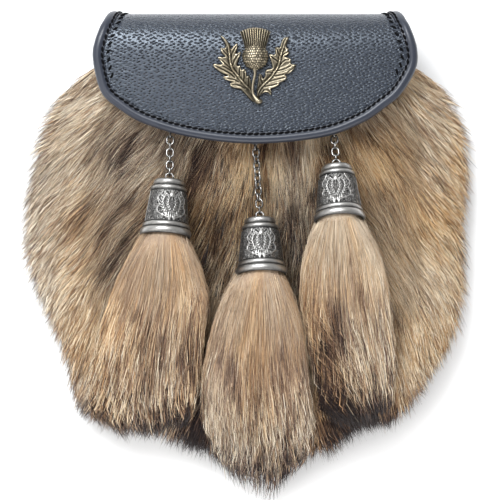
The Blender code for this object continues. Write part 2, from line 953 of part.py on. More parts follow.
def tassel_cone(side, hanger, collection):
    material = principled(f"cone_silver_{side}", (0.52, 0.50, 0.46), 0.36, 1.0)
    cone = add_object(f"tassel_cone_{side}", turned(cone_profile), collection, material)
    cone.matrix_world = hanger.frame()
    screw(cone, cone_steps)
    eye = ring(
        Vector((0.0, 0.0, eye_lift)),
        Vector((0.0, 0.0, 1.0)),
        Vector((1.0, 0.0, 0.0)),
        eye_radius,
        eye_wire,
    )
    fuse(cone, [loft(eye, closed=True)] + cone_relief(), f"relief_{side}")
    return cone


def hair_foot(x, y, lift=0.0):
    """Underside of a tassel: just over the pelt, or as high as the cone carries it."""
    return max(fur_height(x, y) + hair_lift, lift)


def hair_sections(hanger, row):
    """Rings of the tassel from inside the cone to near its tips."""
    turns = [2 * math.pi * k / hair_sides for k in range(hair_sides)]
    rings = []
    for depth, radius in ((hair_head_depth, hair_head_radius), (cone_height, hair_mouth_radius)):
        centre = hanger.top + hanger.axis * depth
        rings.append([
            centre + (hanger.side * math.cos(t) + hanger.face * math.sin(t)) * radius
            for t in turns
        ])
    for y, left, right, lift, thickness in row["hair"]:
        middle, half = (left + right) / 2, (right - left) / 2
        points = []
        for t in turns:
            x = middle - half * math.cos(t)
            points.append(Vector((x, y, hair_foot(x, y, lift) + thickness / 2 * (1 + math.sin(t)))))
        rings.append(points)
    return rings


def hair_lock(across, row):
    """Lock on the tassel's face, from near the cone to its own tip."""
    sections = row["hair"]
    y, left, right, _, _ = sections[0]
    root_x = (left + right) / 2 + (right - left) / 2 * across * 0.7
    root_z = fur_top + 10.0
    stations = [(root_x, y - 4.0, 0.0, root_z, root_z)]
    last = sections[-1:] if len(sections) % 2 else []
    for y, left, right, lift, thickness in sections[1::2] + last:
        x = (left + right) / 2 + (right - left) / 2 * across * 0.9
        half = (right - left) / tassel_locks * 0.7
        foot = hair_foot(x, y, lift)
        stations.append((x, y, half, foot, foot + thickness + 1.0))
    reach = (row["tip_y"] - y) * (1.0 - 0.45 * across * across)
    foot = hair_foot(x, y + reach * 0.5)
    stations.append((x, y + reach * 0.5, half * 0.7, foot, foot + (thickness + 1.0) * 0.7))
    foot = hair_foot(x, y + reach)
    stations.append((x, y + reach, 0.0, foot, foot))
    return lock(stations)


def tassel_hair(side, hanger, row, collection):
    material = principled(f"tassel_hair_{side}", (0.62, 0.48, 0.35), 0.85)
    head = loft(hair_sections(hanger, row))
    hair = add_object(f"tassel_hair_{side}", head, collection, material)
    places = [2 * (k + 0.5) / tassel_locks - 1 for k in range(tassel_locks)]
    fuse(hair, [hair_lock(across, row) for across in places], f"hair_locks_{side}")
    fill_pockets(hair)
    return hair


def anchor_place(hanger, row):
    """Near wire of the anchor's eye, and the level direction that the chain takes to it."""
    length = 2 * link_start + (row["links"] - 1) * link_pitch
    drop = hanger.eye_top.z - anchor_height
    level = math.sqrt(length**2 - drop**2)
    sideways = row["anchor_x"] - hanger.eye_top.x
    flat = Vector((sideways, math.sqrt(level**2 - sideways**2), 0.0))
    return hanger.eye_top + flat - Vector((0.0, 0.0, drop)), flat.normalized()


def chain_anchor(side, hanger, row, collection):
    """Eye on a post that passes through the pelt and the front wall to a rivet head inside."""
    material = principled(f"anchor_steel_{side}", (0.50, 0.49, 0.47), 0.34, 1.0)
    near, flat = anchor_place(hanger, row)
    centre = near + flat * eye_radius
    post = centre + flat * eye_radius
    inside = panel_height(post.x, post.y) - panel_leather / 2 - 2 * clearance
    up = Vector((0.0, 0.0, 1.0))
    profile = [
        (0.0, 0.0),
        (anchor_post, 0.0),
        (anchor_post, post.z - inside),
        (rivet_radius, post.z - inside),
        (rivet_radius, post.z - inside + rivet_thickness),
        (0.0, post.z - inside + rivet_thickness),
    ]
    anchor = add_object(f"chain_anchor_{side}", turned(profile), collection, material)
    anchor.location = post * mm
    bpy.context.view_layer.update()
    screw(anchor, 8)
    eye = ring(centre - post, flat, up, eye_radius, eye_wire)
    fuse(anchor, [loft(eye, closed=True)], f"anchor_eye_{side}")
    return anchor, post


def link_mesh():
    """Oval link: a torus whose halves are moved apart."""
    bpy.ops.mesh.primitive_torus_add(
        major_segments=10,
        minor_segments=5,
        major_radius=link_bend * mm,
        minor_radius=link_wire * mm,
    )
    torus = bpy.context.active_object
    mesh = torus.data
    for vertex in mesh.vertices:
        vertex.co.x += math.copysign(link_straight * mm, vertex.co.x)
    bpy.data.objects.remove(torus)
    mesh.shade_smooth()
    return mesh


def chain(side, hanger, row, mesh, collection):
    """Links from the cone's eye to the anchor's, each turned against the one before."""
    near, _ = anchor_place(hanger, row)
    along = (near - hanger.eye_top).normalized()
    across = along.cross(Vector((0.0, 0.0, 1.0))).normalized()
    above = across.cross(along)
    count = row["links"]
    for k in range(count):
        twist = chain_twist[side] * math.sin(math.pi * k / (count - 1))
        roll = math.radians(90.0 * (k + 1) + twist)
        link_side = across * math.cos(roll) + above * math.sin(roll)
        turn = Matrix((along, link_side, along.cross(link_side))).transposed()
        link = add_object(f"chain_{side}_{k + 1:02d}", mesh, collection)
        middle = hanger.eye_top + along * (link_start + k * link_pitch)
        link.matrix_world = Matrix.Translation(middle * mm) @ turn.to_4x4()


# The thistle on the flap ------------------------------------------------------------------

def plate(outline, foot, height):
    """Flat piece with this outline."""
    return loft([[Vector((x, y, z)) for x, y in outline] for z in (foot, height)])


def badge_pieces():
    step = 0.08
    pieces = [plate(left_leaf, 0.0, badge_plate), plate(right_leaf, step, badge_plate + step)]
    for midrib in (left_midrib, right_midrib):
        pieces.append(loft(rod([Vector((x, y, badge_plate)) for x, y in midrib], 0.7, 4)))
    pieces.append(loft(rod([Vector((x, y, stem_height)) for x, y in stem], 1.0, 6)))
    head = bmesh.new()
    bmesh.ops.create_uvsphere(head, u_segments=12, v_segments=7, radius=1.0)
    for vertex in head.verts:
        x, y, z = vertex.co
        place = Vector((
            head_centre[0] + x * head_radius,
            head_centre[1] + y * head_radius,
            badge_plate + z * head_height,
        ))
        place.z = max(place.z, 2 * step)
        vertex.co = place * mm
    pieces.append(mesh_from(head, "head"))
    rings = []
    for k in range(2 * tuft_ribs + 1):
        across = k / tuft_ribs - 1
        ridge = 0.35 if k % 2 else -0.35
        arch = 1.2 * (1 - across**2)
        foot = (head_centre[0] + tuft_foot_half * across, tuft_foot_y - 2.0 + arch)
        top = (head_centre[0] + tuft_top_half * across, tuft_top_y + arch)
        rings.append([
            Vector((*foot, 3 * step)),
            Vector((*top, 3 * step)),
            Vector((*top, 2.6 + ridge)),
            Vector((*foot, 1.8 + ridge)),
        ])
    pieces.append(loft(rings))
    return pieces


def thistle_badge(collection):
    """The pieces are fused flat, then laid over the flap's curve."""
    material = principled("badge_brass", (0.42, 0.36, 0.24), 0.38, 1.0)
    pieces = badge_pieces()
    flat = add_object("flat_badge", pieces[0], bpy.data.collections["cutters"])
    fuse(flat, pieces[1:], "badge_pieces")
    bpy.context.view_layer.update()
    graph = bpy.context.evaluated_depsgraph_get()
    mesh = bpy.data.meshes.new_from_object(flat.evaluated_get(graph))
    bpy.data.objects.remove(flat)
    crown = fold_centre_z + fold_rise
    for vertex in mesh.vertices:
        x, y, lift = vertex.co / mm
        lift += leather / 2 + clearance
        bent = on_leather(x, flap_run(y), lift)
        level = Vector((x, y, crown + lift))
        vertex.co = bent.lerp(level, 0.35) * mm
    mesh.name = "thistle_badge"
    badge = add_object("thistle_badge", mesh, collection, material)
    return badge


# The whole --------------------------------------------------------------------------------

def rivet_holes(posts):
    """Cutter for the holes through the pelt and the front wall."""
    holes = [(stud_hole, Vector((0.0, stud_y, 0.0)))] + [(rivet_hole, post) for post in posts]
    bm = bmesh.new()
    for radius, place in holes:
        foot = panel_foot - 3.0
        depth = fur_top + 12.0 - foot
        move = Matrix.Translation(Vector((place.x, place.y, foot + depth / 2)) * mm)
        bmesh.ops.create_cone(
            bm,
            cap_ends=True,
            segments=8,
            radius1=radius * mm,
            radius2=radius * mm,
            depth=depth * mm,
            matrix=move,
        )
    mesh = mesh_from(bm, "rivet_holes")
    cutter = add_object("rivet_holes", mesh, bpy.data.collections["cutters"])
    cutter.hide_render = True
    cutter.display_type = "WIRE"
    return cutter


def main():
    for thing in list(bpy.data.objects):
        bpy.data.objects.remove(thing)
    parts = bpy.data.collections.new("sporran_pouch")
    cutters = bpy.data.collections.new("cutters")
    for group in (parts, cutters):
        bpy.context.scene.collection.children.link(group)

    back_and_flap(parts)
    edge_binding(parts)
    gusset(parts)
    press_stud(parts)
    belt_loop(parts)
    thistle_badge(parts)

    links = link_mesh()
    links.materials.append(principled("chain_steel", (0.52, 0.51, 0.49), 0.32, 1.0))
    posts = []
    for side, row in tassels.items():
        hanger = Hanger(row)
        tassel_cone(side, hanger, parts)
        tassel_hair(side, hanger, row, parts)
        posts.append(chain_anchor(side, hanger, row, parts)[1])
        chain(side, hanger, row, links, parts)

    holes = rivet_holes(posts)
    front_panel(parts, holes)
    fur_coat(parts, holes)


main()
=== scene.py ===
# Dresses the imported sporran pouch: grained leather with its stitches, cast metals, and fur and
# tassels in strands. Lengths in the tables are millimetres unless a note says otherwise.

import contextlib
import math

import bmesh
import bpy
import numpy as np
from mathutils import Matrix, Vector
from mathutils.geometry import delaunay_2d_cdt


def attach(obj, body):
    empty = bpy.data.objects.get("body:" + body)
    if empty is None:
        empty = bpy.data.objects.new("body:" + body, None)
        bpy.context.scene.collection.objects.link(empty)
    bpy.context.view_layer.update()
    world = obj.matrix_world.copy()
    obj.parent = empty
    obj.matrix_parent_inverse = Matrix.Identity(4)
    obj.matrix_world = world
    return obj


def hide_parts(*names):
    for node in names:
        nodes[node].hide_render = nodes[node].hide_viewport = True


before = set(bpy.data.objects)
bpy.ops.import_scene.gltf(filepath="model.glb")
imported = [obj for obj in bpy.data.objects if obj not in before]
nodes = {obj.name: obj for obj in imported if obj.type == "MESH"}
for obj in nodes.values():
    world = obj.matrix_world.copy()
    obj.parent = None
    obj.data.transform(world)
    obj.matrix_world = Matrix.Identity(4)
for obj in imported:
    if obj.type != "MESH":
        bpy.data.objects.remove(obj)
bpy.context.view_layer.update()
mm = 0.001
collection = bpy.context.scene.collection


# Small tools for node trees

def feed(tree, socket, value):
    if isinstance(value, bpy.types.NodeSocket):
        tree.links.new(value, socket)
    else:
        socket.default_value = value


def addNode(tree, kind, inputs=None, **settings):
    node = tree.nodes.new(kind)
    for key, value in settings.items():
        setattr(node, key, value)
    for key, value in (inputs or {}).items():
        feed(tree, node.inputs[key], value)
    return node


def calc(tree, operation, *values):
    return addNode(tree, "ShaderNodeMath", dict(enumerate(values)), operation=operation).outputs[0]


def vectorCalc(tree, operation, *values):
    node = addNode(tree, "ShaderNodeVectorMath", dict(enumerate(values)), operation=operation)
    return node.outputs["Value" if operation in ("DOT_PRODUCT", "LENGTH") else "Vector"]


def scaled(tree, vector, factor):
    node = addNode(tree, "ShaderNodeVectorMath", {0: vector, "Scale": factor}, operation="SCALE")
    return node.outputs["Vector"]


def ramp(tree, factor, stops):
    # stops are a place with a grey or a colour
    node = addNode(tree, "ShaderNodeValToRGB", {0: factor})
    elements = node.color_ramp.elements
    while len(elements) < len(stops):
        elements.new(0.5)
    for element, (place, color) in zip(elements, stops):
        element.position = place
        element.color = (*color, 1.0) if isinstance(color, tuple) else (color, color, color, 1.0)
    return node.outputs["Color"]


def mixColor(tree, factor, one, other, blend="MIX"):
    node = addNode(tree, "ShaderNodeMix", {0: factor}, data_type="RGBA", blend_type=blend)
    for index, color in ((6, one), (7, other)):
        feed(tree, node.inputs[index], (*color, 1.0) if isinstance(color, tuple) else color)
    return node.outputs[2]


def linear(red, green, blue):
    # an sRGB colour of 0 to 255 as the linear one that sockets take
    parts = [channel / 255 for channel in (red, green, blue)]
    return tuple(p / 12.92 if p < 0.04045 else ((p + 0.055) / 1.055) ** 2.4 for p in parts)


def newMaterial(name, sockets=None):
    material = bpy.data.materials.new(name)
    material.use_nodes = True
    tree = material.node_tree
    shader = tree.nodes["Principled BSDF"]
    for key, value in (sockets or {}).items():
        shader.inputs[key].default_value = value
    return material, tree, shader


def objectPlace(tree, scale=(1.0, 1.0, 1.0)):
    place = addNode(tree, "ShaderNodeTexCoord").outputs["Object"]
    return addNode(tree, "ShaderNodeMapping", {"Vector": place, "Scale": scale}).outputs["Vector"]


def attribute(tree, name, socket="Fac"):
    return addNode(tree, "ShaderNodeAttribute", attribute_name=name).outputs[socket]


def noise(tree, place, scale, detail, distortion=0.0, dimensions="3D"):
    inputs = {"Vector": place, "Scale": scale, "Detail": detail, "Distortion": distortion}
    return addNode(tree, "ShaderNodeTexNoise", inputs, noise_dimensions=dimensions).outputs[0]


def paint(tree, shader, color):
    feed(tree, shader.inputs["Base Color"], color)


def setRoughness(tree, shader, value, low, high, start=0.0, end=1.0):
    # from low to high while the value goes from start to end
    inputs = {"Value": value, "From Min": start, "From Max": end, "To Min": low, "To Max": high}
    feed(tree, shader.inputs["Roughness"], addNode(tree, "ShaderNodeMapRange", inputs).outputs[0])


def bump(tree, shader, height, distance, strength=1.0):
    inputs = {"Height": height, "Distance": distance, "Strength": strength}
    feed(tree, shader.inputs["Normal"], addNode(tree, "ShaderNodeBump", inputs).outputs["Normal"])


# Materials

grain = {
    "rowTurn": -28.0,  # degrees
    "pitch": 2.0,
    "rowPitch": 1.45,
    "depth": 0.00045,  # metres
    "bowl": [(0.0, 0.0), (0.12, 0.15), (0.23, 0.72), (0.4, 0.97), (0.6, 1.0)],
    "creases": 0.25,
    "shine": 0.75,
    "roughness": (0.22, 0.3),
    # the near-black colour painted into the pits as painted shade
    "pitShadeColor": linear(1, 1, 2),
    "skin": linear(36, 40, 49),
    "tint": (0.8, 0.89, 1.0, 1.0),
}


def grainedLeather():
    # the attribute grainPlace counts the grain's cells on the spread-out leather
    material, tree, shader = newMaterial(
        "grainedLeather", {"Specular IOR Level": grain["shine"], "Specular Tint": grain["tint"]}
    )
    place = attribute(tree, "grainPlace", "Vector")
    pits = addNode(
        tree, "ShaderNodeTexVoronoi", {"Vector": place, "Scale": 1.0, "Randomness": 0.6},
        voronoi_dimensions="2D",
    ).outputs["Distance"]
    creases = noise(tree, place, 2.9, 2.0, dimensions="2D")
    rise = ramp(tree, pits, grain["bowl"])
    bump(tree, shader, calc(tree, "MULTIPLY_ADD", creases, grain["creases"], rise), grain["depth"])
    # painted shade: besides their bump, the pits are coloured near black where their shade falls
    pitShade = ramp(tree, pits, [(0.15, 0.0), (0.28, 1.0)])
    paint(tree, shader, mixColor(tree, pitShade, grain["pitShadeColor"], grain["skin"]))
    cloud = noise(tree, place, 0.12, 2.0, dimensions="2D")
    setRoughness(tree, shader, cloud, *grain["roughness"])
    return material


def smoothLeather(name, color, roughness):
    material, tree, shader = newMaterial(name)
    place = objectPlace(tree)
    cloud = noise(tree, place, 90.0, 4.0)
    paint(tree, shader, mixColor(tree, cloud, color, tuple(channel * 1.5 for channel in color)))
    setRoughness(tree, shader, cloud, roughness - 0.05, roughness + 0.08)
    bump(tree, shader, noise(tree, place, 1100.0, 3.0), 0.00006, 0.6)
    return material


def stitchThread():
    material, tree, shader = newMaterial(
        "stitchThread", {"Roughness": 0.8, "Specular IOR Level": 0.06}
    )
    twist = noise(tree, objectPlace(tree), 2500.0, 2.0)
    paint(tree, shader, mixColor(tree, twist, (0.0012, 0.0012, 0.0015), (0.005, 0.005, 0.006)))
    bump(tree, shader, twist, 0.0001)
    return material


def curls(tree):
    # fine scrollwork over a cone's panel, counted on the attribute panelPlace, alike on both sides
    place = attribute(tree, "panelPlace", "Vector")
    parts = addNode(tree, "ShaderNodeSeparateXYZ", {0: place}).outputs
    near = calc(tree, "ABSOLUTE", parts[0])
    flat = addNode(tree, "ShaderNodeCombineXYZ", {"X": near, "Y": parts[1]}).outputs[0]
    cloud = noise(tree, flat, 0.42, 1.0, 0.9, "2D")
    wave = calc(tree, "PINGPONG", calc(tree, "MULTIPLY", cloud, 6.5), 0.5)
    ridge = ramp(tree, wave, [(0.04, 1.0), (0.2, 0.55), (0.34, 0.0)])
    return calc(tree, "MULTIPLY", ridge, parts[2])


def antiqueMetal(name, bright, dark, roughness, scrolled=False):
    # worn bright where the attribute relief is high, and left dark in the recesses; on the thistle's
    # tuft relief also carries painted light and shade
    material, tree, shader = newMaterial(name, {"Metallic": 1.0})
    relief, place = attribute(tree, "relief"), objectPlace(tree)
    speck, cloud = noise(tree, place, 900.0, 4.0), noise(tree, place, 160.0, 3.0)
    height, depth = speck, 0.00005
    if scrolled:
        scroll = curls(tree)
        relief = calc(tree, "MAXIMUM", relief, calc(tree, "MULTIPLY", scroll, 0.8))
        height, depth = calc(tree, "MULTIPLY_ADD", speck, 0.15, scroll), 0.0004
    level = calc(tree, "ADD", relief, calc(tree, "MULTIPLY_ADD", speck, 0.4, -0.2))
    between = tuple(0.35 * a + 0.65 * b for a, b in zip(bright, dark))
    tint = ramp(tree, level, [(0.15, dark), (0.5, between), (0.82, bright)])
    dull = tuple(channel * 0.7 for channel in bright)
    paint(tree, shader, mixColor(tree, calc(tree, "MULTIPLY", cloud, 0.25), tint, dull))
    setRoughness(tree, shader, level, roughness + 0.28, roughness, 0.1, 0.9)
    bump(tree, shader, height, depth, 0.5)
    return material


def wireSteel(name, color, roughness):
    material, tree, shader = newMaterial(name, {"Metallic": 1.0})
    cloud = noise(tree, objectPlace(tree), 700.0, 3.0)
    darker = tuple(channel * 0.35 for channel in color)
    paint(tree, shader, ramp(tree, cloud, [(0.35, darker), (0.6, color)]))
    setRoughness(tree, shader, cloud, roughness + 0.2, roughness - 0.05)
    return material


ashHair = [
    # tone, colour
    (0.0, linear(44, 36, 38)),
    (0.3, linear(112, 92, 84)),
    (0.6, linear(184, 162, 140)),
    (0.85, linear(226, 210, 186)),
    (1.0, linear(246, 238, 222)),
]
goldenHair = [
    # tone, colour
    (0.0, linear(46, 33, 26)),
    (0.3, linear(132, 94, 62)),
    (0.6, linear(206, 162, 112)),
    (0.85, linear(234, 202, 154)),
    (1.0, linear(248, 230, 196)),
]


def hairTint(tree, tone):
    warm = attribute(tree, "warm")
    return mixColor(tree, warm, ramp(tree, tone, ashHair), ramp(tree, tone, goldenHair))


def strandHair():
    # each strand keeps its own tone and warm
    material, tree, shader = newMaterial(
        "strandHair", {"Roughness": 0.55, "Specular IOR Level": 0.22}
    )
    paint(tree, shader, hairTint(tree, attribute(tree, "tone")))
    return material


def undercoatWool():
    material, tree, shader = newMaterial("undercoatWool", {"Roughness": 0.85})
    streak = noise(tree, objectPlace(tree, (1.0, 0.18, 1.0)), 900.0, 4.0)
    streaked = calc(tree, "MULTIPLY_ADD", streak, 0.5, -0.3)
    tint = hairTint(tree, calc(tree, "ADD", attribute(tree, "tone"), streaked))
    paint(tree, shader, mixColor(tree, 0.3, tint, (0.03, 0.02, 0.016)))
    bump(tree, shader, streak, 0.0005)
    return material


leatherBlack = grainedLeather()
bindingBlack = smoothLeather("bindingBlack", linear(38, 42, 52), 0.36)
innerBlack = smoothLeather("innerBlack", linear(28, 28, 31), 0.55)
threadBlack = stitchThread()
antiqueSilver = antiqueMetal("antiqueSilver", linear(180, 178, 175), linear(16, 16, 18), 0.35, True)
antiqueBrass = antiqueMetal("antiqueBrass", linear(190, 178, 154), linear(9, 8, 8), 0.27)
chainSteel = wireSteel("chainSteel", linear(146, 144, 141), 0.18)
studNickel = wireSteel("studNickel", linear(200, 196, 188), 0.3)
hair = strandHair()
wool = undercoatWool()
print("materials made")


# Curves and meshes

def smoothLine(points, samples=8, closed=False):
    # Catmull-Rom curve through the points
    points = np.array(points, float)
    count = len(points)
    curve = []
    for span in range(count if closed else count - 1):
        if closed:
            before, start, end, after = (points[(span + k) % count] for k in (-1, 0, 1, 2))
        else:
            start, end = points[span], points[span + 1]
            before = points[span - 1] if span else 2 * start - end
            after = points[span + 2] if span + 2 < count else 2 * end - start
        for step in range(samples):
            t = step / samples
            bend = (2 * before - 5 * start + 4 * end - after) * t**2
            bend = bend + (3 * start - before - 3 * end + after) * t**3
            curve.append(0.5 * (2 * start + (end - before) * t + bend))
    if not closed:
        curve.append(points[-1])
    return np.array(curve)


def reachOf(line):
    steps = np.linalg.norm(np.diff(line, axis=0), axis=1)
    return np.concatenate([[0.0], np.cumsum(steps)])


def evenly(line, count):
    reach = reachOf(line)
    wanted = np.linspace(0.0, reach[-1], count)
    return np.stack([np.interp(wanted, reach, line[:, k]) for k in range(line.shape[1])], 1)


def aheadOf(line, closed=False):
    ahead = np.roll(line, -1, 0) - np.roll(line, 1, 0) if closed else np.gradient(line, axis=0)
    return ahead / np.linalg.norm(ahead, axis=1)[:, None]


def leftOf(line, closed=False):
    ahead = aheadOf(line, closed)
    return np.stack([-ahead[:, 1], ahead[:, 0]], 1)


def turned(x, y, turn):
    return x * np.cos(turn) - y * np.sin(turn), x * np.sin(turn) + y * np.cos(turn)


def fullTurn(count):
    return np.linspace(0, 2 * math.pi, count, endpoint=False)


def toPolyline(x, y, line):
    # how far each place is from a line of straight parts
    away = np.full(x.shape, 1e9)
    for start, end in zip(line, line[1:]):
        span = end - start
        share = np.clip(((x - start[0]) * span[0] + (y - start[1]) * span[1]) / (span @ span), 0, 1)
        away = np.minimum(away, np.hypot(x - start[0] - share * span[0], y - start[1] - share * span[1]))
    return away


def smoothStep(value):
    value = np.clip(value, 0.0, 1.0)
    return value * value * (3 - 2 * value)


def gridFaces(rows, columns, wrap=False, ring=False):
    # quads of a grid of points stored row by row, which may close across and along
    faces = []
    for i in range(rows if ring else rows - 1):
        for j in range(columns if wrap else columns - 1):
            near, far = i * columns, (i + 1) % rows * columns
            after = (j + 1) % columns
            faces.append((near + j, near + after, far + after, far + j))
    return faces


def newMesh(name, points, faces, material=None, attributes=None, smooth=True):
    # points are millimetres
    mesh = bpy.data.meshes.new(name)
    mesh.from_pydata([tuple(point) for point in np.asarray(points, float) * mm], [], faces)
    for key, values in (attributes or {}).items():
        values = np.asarray(values, np.float32)
        flat = values.ndim == 1
        layer = mesh.attributes.new(key, "FLOAT" if flat else "FLOAT_VECTOR", "POINT")
        layer.data.foreach_set("value" if flat else "vector", values.ravel())
    if smooth:
        mesh.shade_smooth()
    if material:
        mesh.materials.append(material)
    thing = bpy.data.objects.new(name, mesh)
    collection.objects.link(thing)
    return thing


@contextlib.contextmanager
def opened(thing):
    # its mesh to edit in place
    bm = bmesh.new()
    bm.from_mesh(thing.data)
    yield bm
    bm.to_mesh(thing.data)
    bm.free()


def pointOut(thing, merge=True):
    # faces turned outwards, after loose doubles are merged
    with opened(thing) as bm:
        if merge:
            bmesh.ops.remove_doubles(bm, verts=bm.verts, dist=1e-6)
        bmesh.ops.recalc_face_normals(bm, faces=bm.faces)
    return thing


def copied(thing, name):
    twin = bpy.data.objects.new(name, thing.data.copy())
    collection.objects.link(twin)
    return twin


def plainMesh(thing):
    # the evaluated object as a plain mesh, with no modifier left
    bpy.context.view_layer.update()
    graph = bpy.context.evaluated_depsgraph_get()
    mesh = bpy.data.meshes.new_from_object(
        thing.evaluated_get(graph), preserve_all_data_layers=True, depsgraph=graph
    )
    thing.modifiers.clear()
    thing.data = mesh
    mesh.name = thing.name
    return thing


def finishPiece(thing, slot, *replaced):
    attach(thing, "root")
    if replaced:
        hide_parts(*replaced)
    return thing


def joined(name, things):
    # several meshes as one piece
    bm = bmesh.new()
    for thing in things:
        bm.from_mesh(thing.data)
    mesh = things[0].data
    bm.to_mesh(mesh)
    bm.free()
    for thing in things[1:]:
        bpy.data.objects.remove(thing)
    things[0].name = name
    mesh.name = name
    return things[0]


# Geometry Nodes

def newTree(name, inputs):
    # inputs are (name, socket type, value); the tree gets a geometry in and out
    tree = bpy.data.node_groups.new(name, "GeometryNodeTree")
    tree.interface.new_socket("Geometry", in_out="INPUT", socket_type="NodeSocketGeometry")
    for label, kind, _ in inputs:
        tree.interface.new_socket(label, in_out="INPUT", socket_type=kind)
    tree.interface.new_socket("Geometry", in_out="OUTPUT", socket_type="NodeSocketGeometry")
    return tree, tree.nodes.new("NodeGroupInput").outputs, tree.nodes.new("NodeGroupOutput").inputs[0]


def runTree(thing, tree, inputs):
    modifier = thing.modifiers.new(tree.name, "NODES")
    modifier.node_group = tree
    sockets = {item.name: item.identifier for item in tree.interface.items_tree
               if item.in_out == "INPUT"}
    for label, _, value in inputs:
        modifier[sockets[label]] = value
    return plainMesh(thing)


def keep(tree, geometry, name, value, kind="FLOAT", domain="POINT"):
    node = addNode(
        tree, "GeometryNodeStoreNamedAttribute", {"Geometry": geometry, "Name": name},
        data_type=kind, domain=domain,
    )
    feed(tree, node.inputs["Value"], value)
    return node.outputs[0]


def named(tree, name, kind="FLOAT"):
    node = addNode(tree, "GeometryNodeInputNamedAttribute", {"Name": name}, data_type=kind)
    return node.outputs["Attribute"]


def namedVector(tree, name):
    return named(tree, name, "FLOAT_VECTOR")


def geometryNode(tree, kind, inputs=None, **settings):
    return addNode(tree, "GeometryNode" + kind, inputs, **settings).outputs[0]


def randomValue(tree, low, high, seed):
    # a number, or a vector where low and high are vectors
    isVector = isinstance(low, tuple)
    node = addNode(tree, "FunctionNodeRandomValue", data_type="FLOAT_VECTOR" if isVector else "FLOAT")
    first = 0 if isVector else 2
    for index, value in ((first, low), (first + 1, high), ("Seed", seed)):
        feed(tree, node.inputs[index], value)
    return node.outputs[0 if isVector else 1]


def sampled(tree, geometry, value, index, kind):
    inputs = {"Geometry": geometry, "Index": index}
    node = addNode(tree, "GeometryNodeSampleIndex", inputs, data_type=kind, domain="POINT")
    feed(tree, node.inputs["Value"], value)
    return node.outputs[0]


def mixed(tree, factor, one, other):
    return addNode(tree, "ShaderNodeMix", {0: factor, 4: one, 5: other}, data_type="VECTOR").outputs[1]


def placeCopies(tree, given, result, shape, size=(1.0, 1.0, 1.0), smooth=False):
    # a copy of the shape at each point, turned by the attributes ahead and out
    turn = addNode(
        tree, "FunctionNodeAxesToRotation",
        {"Primary Axis": namedVector(tree, "ahead"), "Secondary Axis": namedVector(tree, "out")},
        primary_axis="X", secondary_axis="Z",
    ).outputs[0]
    inputs = {"Points": given["Geometry"], "Instance": shape, "Rotation": turn, "Scale": size}
    placed = geometryNode(tree, "InstanceOnPoints", inputs)
    placed = geometryNode(tree, "RealizeInstances", {"Geometry": placed})
    if smooth:
        placed = geometryNode(tree, "SetShadeSmooth", {"Geometry": placed})
    inputs = {"Geometry": placed, "Material": given["Material"]}
    feed(tree, result, geometryNode(tree, "SetMaterial", inputs))


strandLook = {
    "clumpReach": (0.82, 1.12),  # how far a clump's tip reaches
    "longest": 1.08,
    "clumpShift": 1.3,
    "ownStray": 0.35,  # how much of its own straying a strand keeps in its clump
    "clumpBend": 0.4,
    "arch": 1.1,
    "warmth": 0.3,
    "stout": (1.2, 0.62),  # width past the finest, and the finest
    "taper": 0.4,
    "flatness": 0.6,
    "rootDark": 0.2,
    "tipDark": 0.85,
}


def strandInputs(settings, seed, segments):
    # the settings, with their lengths in metres, and what the tree needs besides
    inputs = [(key, "NodeSocketFloat", value * (mm if key in ("width", "spread") else 1.0))
              for key, value in settings.items()]
    return inputs + [
        ("seed", "NodeSocketInt", seed),
        ("segments", "NodeSocketInt", segments),
        ("material", "NodeSocketMaterial", hair),
    ]


